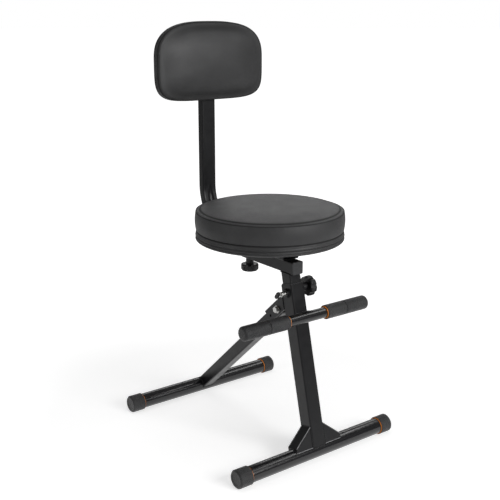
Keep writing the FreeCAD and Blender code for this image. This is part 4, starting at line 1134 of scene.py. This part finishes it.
    def from_seam(self) -> Array:
        """Length along the section from the seam, which lies just inside the rim, to each row."""
        along = section_length(self.rows())
        return along - along[self.first_row("roll") + self.seam_row]

    def painted_shade_share(self) -> Array:
        """Paint shade into the seam, the fold along the band, and a valley inside the upper and the lower
        edge.

        Returns:
            The share of shade of each point, as (rows, columns).
        """
        away = self.from_seam()
        fold = bells(self.rows()[:, 1], self.band_shade)[0] * self.outer_rows()
        lines = np.maximum(bells(away, self.seam_shade)[0], fold)
        upright = circle(1.0, self.columns)[1] ** 2
        valley = bells(away, self.valley_shade)[0] * (away > 0.0)
        return np.maximum(lines[:, None], valley[:, None] * upright)

    def sewn(self, rings: Array) -> Array:
        """Pull the seam in, draw a rib and a fold along the band, and make room for the post.

        Args:
            rings: the swollen form.

        Returns:
            The sewn form.
        """
        inset, level = self.rows().T
        depth = bells(level, self.band_relief).sum(axis=0) + bells(self.from_seam(), self.seam_relief)[0]
        depth = np.where(self.outer_rows() & (inset < self.rim_reach), depth * MM, 0.0)
        shaped = rings + ring_normals(rings) * depth[:, None, None]
        beside = np.abs(shaped[..., 0])
        gate = 1.0 - smoothstep(beside, self.channel_half_width, self.channel_half_width + self.channel_fade)
        gate = gate * (shaped[..., 2] < self.post_top)
        ahead = self.back_y - self.channel_depth * gate
        shaped[..., 1] = np.where(gate > 0.0, np.minimum(shaped[..., 1], ahead), shaped[..., 1])
        return shaped


# Weld beads

@dataclass(frozen=True)
class TiltedFrame:
    """A frame turned about X, in which a leg stands straight."""

    origin: Place
    tilt: float

    def points(self, x: object, y: object, z: object) -> Array:
        """Turn places in this frame into places in the stool.

        Args:
            x: how far across.
            y: how far behind.
            z: how far along.

        Returns:
            The places as points.
        """
        x, y, z = (np.asarray(value, float) for value in (x, y, z))
        sine, cosine = math.sin(self.tilt), math.cos(self.tilt)
        return joined(self.origin[0] + x, self.origin[1] + y * cosine + z * sine,
                      self.origin[2] - y * sine + z * cosine)

    def rectangle(self, x: float, y: tuple[float, float], z: tuple[float, float]) -> Array:
        """Corners of a rectangle that spans -x to x, and a run from the first y and z to the second."""
        return self.points([-x, x, x, -x], [y[0], y[0], y[1], y[1]], [z[0], z[0], z[1], z[1]])


FRONT_LEG = TiltedFrame((0.0, -277.25 * MM, 20.9 * MM), math.radians(13.6))
REAR_LEG = TiltedFrame((0.0, -151.967 * MM, 335.049 * MM), math.radians(42.46))
UPRIGHT = TiltedFrame((0.0, 0.0, 0.0), 0.0)
SIDES = (-1, 1)
FOOT_RADIUS = 19 * MM


@dataclass
class WeldBeads:
    """Rippled beads where the tubes and plates are welded together, under the same coat.

    Each run is the corners of its line, and whether it closes.
    """

    body: str
    name: str
    runs: Sequence[tuple[Array, bool]]
    radius: float = 1.3 * MM
    ripple: float = 0.18
    ripple_pitch: float = 2.6 * MM
    step: float = 0.9 * MM
    sides: int = 8
    finish: Finish = POWDER_COAT

    def build(self) -> Object:
        """Carry a round profile along every run; its radius swells once for each ripple.

        Returns:
            One piece that holds all the beads of its body.
        """
        all_points, all_faces, offset = [], [], 0
        for corners, closed in self.runs:
            path = along_polyline(corners, self.step, closed)
            beat = FULL_TURN * np.arange(len(path)) * self.step / self.ripple_pitch
            radius = self.radius * (1.0 + self.ripple * np.sin(beat))
            points, faces = swept_tube(path, radius, self.sides, closed)
            all_points.append(points)
            all_faces += [[corner + offset for corner in face] for face in faces]
            offset += len(points)
        piece = new_object(self.name, np.concatenate(all_points), all_faces)
        return finish_piece(piece, self.finish, self.body)


def front_frame_beads() -> WeldBeads:
    """Lay beads at the gussets, the leg's foot, the footrest's saddle, the hinge bracket and the bosses.

    Returns:
        The beads of the front frame.
    """
    leg, cheek, toe, gusset_top = 19 * MM, 15.5 * MM, 67 * MM, 60 * MM
    over = np.linspace(-cheek, cheek, 15)
    rise = [math.sqrt(FOOT_RADIUS ** 2 - cheek ** 2), gusset_top]
    runs = []
    for side in SIDES:
        for depth in (-cheek, cheek):
            runs.append((FRONT_LEG.points(side * leg, depth, rise), False))
        runs.append((FRONT_LEG.points(side * leg, [-cheek, cheek], gusset_top), False))
        runs.append((FRONT_LEG.points(side * toe, over, np.sqrt(FOOT_RADIUS ** 2 - over ** 2)), False))
    front_face, cope_half, cope_level = -17 * MM, 15 * MM, 8.9 * MM
    runs.append((FRONT_LEG.points([-cope_half, cope_half], front_face, cope_level), False))
    saddle_half, saddle_levels = 17 * MM, (304.6 * MM, 326.6 * MM)
    runs.append((FRONT_LEG.rectangle(saddle_half, (front_face, front_face), saddle_levels), True))
    bracket_side, bracket_half, lean, wall = 19 * MM, 18 * MM, math.radians(28.86), 26.9 * MM
    height = np.array([-13.0, 18.2]) * MM
    at_leg = -(wall + height * math.sin(lean)) / math.cos(lean)
    for side in SIDES:
        runs.append((REAR_LEG.points(side * bracket_side, at_leg, height), False))
    runs.append((REAR_LEG.points([-bracket_half, bracket_half], at_leg[1], height[1]), False))
    boss_behind, bosses = 2 * MM, ((-1, 10.4 * MM, 374 * MM), (1, 9 * MM, 380 * MM))
    for side, radius, level in bosses:
        behind, along = circle(radius, 40)
        runs.append((FRONT_LEG.points(side * leg, boss_behind + behind, level + along), True))
    return WeldBeads("front_frame", "front_frame_beads", runs)


def gusset_folds() -> WeldBeads:
    """Round the folds of the gussets and the lower edges of their cheeks, in a pale coat that paints
    highlights on them.

    Returns:
        The folds, made as beads without ripples.
    """
    cheek, edge_level, roof_levels = 15.4 * MM, 11 * MM, [60 * MM, 21.4 * MM]
    roof, edge = np.array([19.5, 66.5]), np.array([19.0, 67.0])
    runs = []
    for side in SIDES:
        for depth in (-cheek, cheek):
            runs.append((FRONT_LEG.points(side * roof * MM, depth, roof_levels), False))
            runs.append((FRONT_LEG.points(side * edge * MM, depth, edge_level), False))
    return WeldBeads("front_frame", "gusset_folds", runs, radius=0.95 * MM, ripple=0.0, finish=EDGE_HIGHLIGHT_PAINT)


def rear_frame_beads() -> WeldBeads:
    """Lay the bead round the rear leg where it is coped over its foot.

    Returns:
        The bead of the rear frame.
    """
    half, clear, length = 15 * MM, 0.3 * MM, 465.356 * MM
    rise = np.linspace(-half, half, 12)
    reach = length - np.sqrt((FOOT_RADIUS + clear) ** 2 - rise ** 2)
    loop = np.concatenate([REAR_LEG.points(-half, reach, rise),
                           REAR_LEG.points(half, reach[::-1], rise[::-1])])
    return WeldBeads("rear_frame", "rear_frame_beads", [(loop, True)])


def seat_post_beads() -> WeldBeads:
    """Lay a bead round the stem under the support, and short runs along the arm sleeve and the seat plate.

    Returns:
        The beads of the seat post.
    """
    stem_half, stem_depths, stem_level = 15.4 * MM, (-192.9 * MM, -160.0 * MM), 429.0 * MM
    runs = [(UPRIGHT.rectangle(stem_half, stem_depths, (stem_level, stem_level)), True)]
    sleeve = (15.3 * MM, 34 * MM, 458.6 * MM, (-165 * MM, -100 * MM, -45 * MM))
    plate = (22.8 * MM, 32 * MM, 484.0 * MM, (-136 * MM, -95 * MM))
    for side in SIDES:
        for beside, length, level, starts in (sleeve, plate):
            for start in starts:
                runs.append((UPRIGHT.points(side * beside, [start, start + length], level), False))
    return WeldBeads("seat_post", "seat_post_beads", runs)


def backrest_beads() -> WeldBeads:
    """Lay beads round the hanger's plate, its arm and the root of its yoke.

    Returns:
        The beads of the backrest.
    """
    level, plate_y, arm_y, arm_radius = 925 * MM, 171.2 * MM, 175.2 * MM, 8 * MM
    plate_half, plate_levels = 16.6 * MM, (904.4 * MM, 945.6 * MM)
    plate = UPRIGHT.rectangle(plate_half, (plate_y, plate_y), plate_levels)
    across, up = circle(arm_radius, 36)
    arm = UPRIGHT.points(across, arm_y, level + up)
    yoke_y, yoke_radius, yoke_half, sweep = 256.95 * MM, 40.2 * MM, 3.2 * MM, np.linspace(-0.21, 0.21, 12)
    yoke = [(UPRIGHT.points(yoke_radius * np.sin(sweep), yoke_y - yoke_radius * np.cos(sweep),
                            level + side * yoke_half), False) for side in SIDES]
    return WeldBeads("backrest", "backrest_beads", [(plate, True), (arm, True)] + yoke)


# Frame finishes

def both(*names: str) -> tuple[str, ...]:
    """The names of the left and the right piece of each pair."""
    return tuple(name + side for name in names for side in ("_left", "_right"))


@dataclass
class FrameFinishes:
    """Which finish each rigid piece of the frame wears."""

    by_finish: dict[Finish, tuple[str, ...]]

    def dress(self) -> None:
        """Give every piece of the frame its material."""
        for finish, names in self.by_finish.items():
            for name in names:
                data = frame["nodes"][name].data
                data.materials.clear()
                data.materials.append(finish.material())
                LOG.info("%s: %s", name, finish.name)


FRAME_FINISHES = FrameFinishes({
    POWDER_COAT: ("front_leg_tube", "gusset_left", "gusset_right", "hinge_bracket", "rear_leg_tube",
                  "footrest_saddle", "stem_tube", "seat_support_tube", "arm_sleeve", "seat_plate",
                  "backrest_post", "hanger_plate", "hanger_arm", "hanger_yoke", "height_nut",
                  "lock_pin_boss", "arm_clamp_nut"),
    GLOSS_PAINT: ("front_foot_tube", "rear_foot_tube", "footrest_bar"),
    RUBBER: both("front_foot_cap", "rear_foot_cap", "footrest_sleeve", "footrest_cap"),
    FOAM_RUBBER: both("yoke_sleeve"),
    ORANGE: both("front_foot_ring", "rear_foot_ring", "footrest_ring"),
    PLASTIC: ("leg_bush", "pivot_spacers", "pivot_bush", "arm_plug", "post_plug", "height_knob",
              "arm_knob", "lock_pin_grip", "pad_board"),
    PLUG_PLASTIC: ("support_plug_front", "support_plug_rear"),
    ZINC: ("pivot_bolt", "pivot_nut", "pivot_washers", "height_screw", "arm_screw", "lock_pin",
           "lock_pin_barrel", "seat_screws", "pad_bolts"),
    PLYWOOD: ("seat_board",),
})


# Studio

def aimed(name: str, data: bpy.types.ID, place: Place, way: Vector) -> Object:
    """Put a camera or lamp in the scene, looking along a way from its place.

    Args:
        name: the object's name.
        data: the camera or lamp.
        place: where it stands.
        way: the direction in which it looks.

    Returns:
        The object.
    """
    holder = placed(name, data)
    holder.location = place
    holder.rotation_euler = way.to_track_quat("-Z", "Y").to_euler()
    return holder


@dataclass(frozen=True)
class Lamp:
    """One soft rectangular lamp, aimed at a point.

    A lamp for the gloss alone casts no light on matt surfaces. One without shadow isn't mirrored either.
    """

    name: str
    place: Place
    target: Place
    size: tuple[float, float]
    power: float
    gloss_only: bool = False
    shadow: bool = True

    def build(self) -> None:
        """Hang the lamp."""
        data = bpy.data.lights.new(self.name, "AREA")
        data.shape, data.energy = "RECTANGLE", self.power
        data.size, data.size_y = self.size
        holder = aimed(self.name, data, self.place, Vector(self.target) - Vector(self.place))
        holder.visible_diffuse = not self.gloss_only
        data.use_shadow = holder.visible_glossy = self.shadow


LAMPS = (
    Lamp("key", (0.55, -2.7, 1.6), (0.0, 0.05, 0.55), (1.5, 1.1), 56.0),
    Lamp("overhead", (0.1, -0.1, 2.6), (0.0, -0.05, 0.4), (1.2, 1.2), 8.0),
    Lamp("front_strip", (1.55, -0.65, 2.1), (0.0, -0.2, 0.1), (1.9, 0.2), 6.0, gloss_only=True),
    Lamp("back_strip", (1.55, 1.75, 1.5), (0.0, 0.1, 0.1), (1.9, 0.3), 6.5, gloss_only=True),
    Lamp("left", (-2.4, 0.1, 1.2), (0.0, 0.0, 0.4), (0.9, 1.4), 9.0),
    Lamp("back_fill", (-0.7, 2.7, 1.7), (0.0, 0.0, 0.6), (2.0, 1.5), 22.0, shadow=False),
)


@dataclass
class Studio:
    """Pale floor, soft lamps, and the camera at the photograph's angle.

    The floor's glow changes over the glow_spread, and the surround's light along sky_way.
    """

    eye: Place = (-1.2044, -1.6308, 1.0010)
    gaze: Place = (0.5775, 0.7720, -0.2656)
    lens: float = 61.59
    sensor: float = 36.0
    clip: tuple[float, float] = (0.01, 200.0)
    floor_rings: tuple[float, ...] = (0.5, 2.0, 8.0, 25.0, 60.0)
    floor_sides: int = 64
    floor_colour: Colour = (0.72, 0.72, 0.72)
    floor_glow: float = 0.56
    far_glow: float = 1.0
    mirrored_far_glow: float = 0.15
    glow_spread: tuple[float, float] = (0.5, 1.5)
    sky_way: Place = (0.60, 0.80, 0.0)
    sky_span: tuple[float, float] = (-0.3, 0.85)
    sky_levels: tuple[float, float] = (0.08, 0.22)

    def camera(self) -> None:
        """Aim the camera."""
        data = bpy.data.cameras.new("camera")
        data.lens, data.sensor_width = self.lens, self.sensor
        data.clip_start, data.clip_end = self.clip
        bpy.context.scene.camera = aimed("camera", data, self.eye, Vector(self.gaze))

    def floor(self) -> None:
        """A wide disc that shows the shadows, with a glow that lifts it to the white of the backdrop."""
        sides = self.floor_sides
        radius = np.array(self.floor_rings)[:, None]
        across, behind = circle(1.0, sides)
        rings = joined(radius * across, radius * behind, 0.0)
        points = np.concatenate([rings.reshape(-1, 3), np.zeros((1, 3))])
        corner = np.arange(sides)
        hub = joined(len(points) - 1, corner, (corner + 1) % sides)
        quads = wrapped_quads(len(radius), sides)[:, ::-1]
        floor = new_object("floor", points, quads.tolist() + hub.tolist())
        material = bpy.data.materials.new("floor")
        nodes = Nodes.of(material)
        direct, mirrored = self.rays(nodes)
        matt = nodes.add("ShaderNodeBsdfDiffuse", Color=self.floor_colour + (1.0,))
        reach = nodes.vector("LENGTH", nodes.add("ShaderNodeTexCoord").outputs["Object"]).outputs["Value"]
        seen, in_gloss = (nodes.span(reach, *self.glow_spread, self.floor_glow, far)
                          for far in (self.far_glow, self.mirrored_far_glow))
        shown = nodes.math("MULTIPLY_ADD", direct, seen, nodes.math("MULTIPLY", mirrored, in_gloss))
        glow = nodes.add("ShaderNodeEmission", Strength=shown)
        sum_of_both = nodes.add("ShaderNodeAddShader")
        for socket, shader in zip(sum_of_both.inputs, (matt, glow)):
            nodes.feed(socket, shader.outputs[0])
        nodes.add("ShaderNodeOutputMaterial", Surface=sum_of_both.outputs[0])
        floor.data.materials.append(material)

    def rays(self, nodes: Nodes) -> tuple[Socket, Socket]:
        """Tell rays that see the backdrop directly from those that meet it in a gloss or through a glass.

        Args:
            nodes: the tree that asks.

        Returns:
            A mask of the first kind and one of the second.
        """
        rays = nodes.add("ShaderNodeLightPath").outputs
        mirrored = nodes.math("MAXIMUM", rays["Is Glossy Ray"], rays["Is Transmission Ray"])
        return rays["Is Camera Ray"], mirrored

    def world(self) -> None:
        """A pale surround: white behind the stool, dimmer on the camera's side."""
        world = bpy.data.worlds.new("surround")
        nodes = Nodes.of(world)
        way = nodes.add("ShaderNodeTexCoord").outputs["Generated"]
        ahead = nodes.vector("DOT_PRODUCT", way, self.sky_way).outputs["Value"]
        direct, mirrored = self.rays(nodes)
        shown = nodes.math("MAXIMUM", direct, nodes.math("MULTIPLY", mirrored, self.mirrored_far_glow))
        level = nodes.math("MAXIMUM", nodes.span(ahead, *self.sky_span, *self.sky_levels), shown)
        sky = nodes.add("ShaderNodeBackground", Strength=level, Color=(1.0, 1.0, 1.0, 1.0))
        nodes.add("ShaderNodeOutputWorld", Surface=sky.outputs[0])
        bpy.context.scene.world = world

    def build(self) -> None:
        """Set the whole studio up."""
        self.camera()
        self.floor()
        self.world()
        for lamp in LAMPS:
            lamp.build()
        bpy.context.scene.view_settings.view_transform = "Standard"


def main() -> None:
    """Dress the frame, build the upholstery and the beads, and set the studio up."""
    logging.basicConfig(level=logging.INFO)
    FRAME_FINISHES.dress()
    seat = SeatCushion()
    seat.build()
    seat.stitches()
    BackrestPad().build()
    for beads in (front_frame_beads, gusset_folds, rear_frame_beads, seat_post_beads, backrest_beads):
        beads().build()
    Studio().build()


if __name__ == "__main__":
    main()
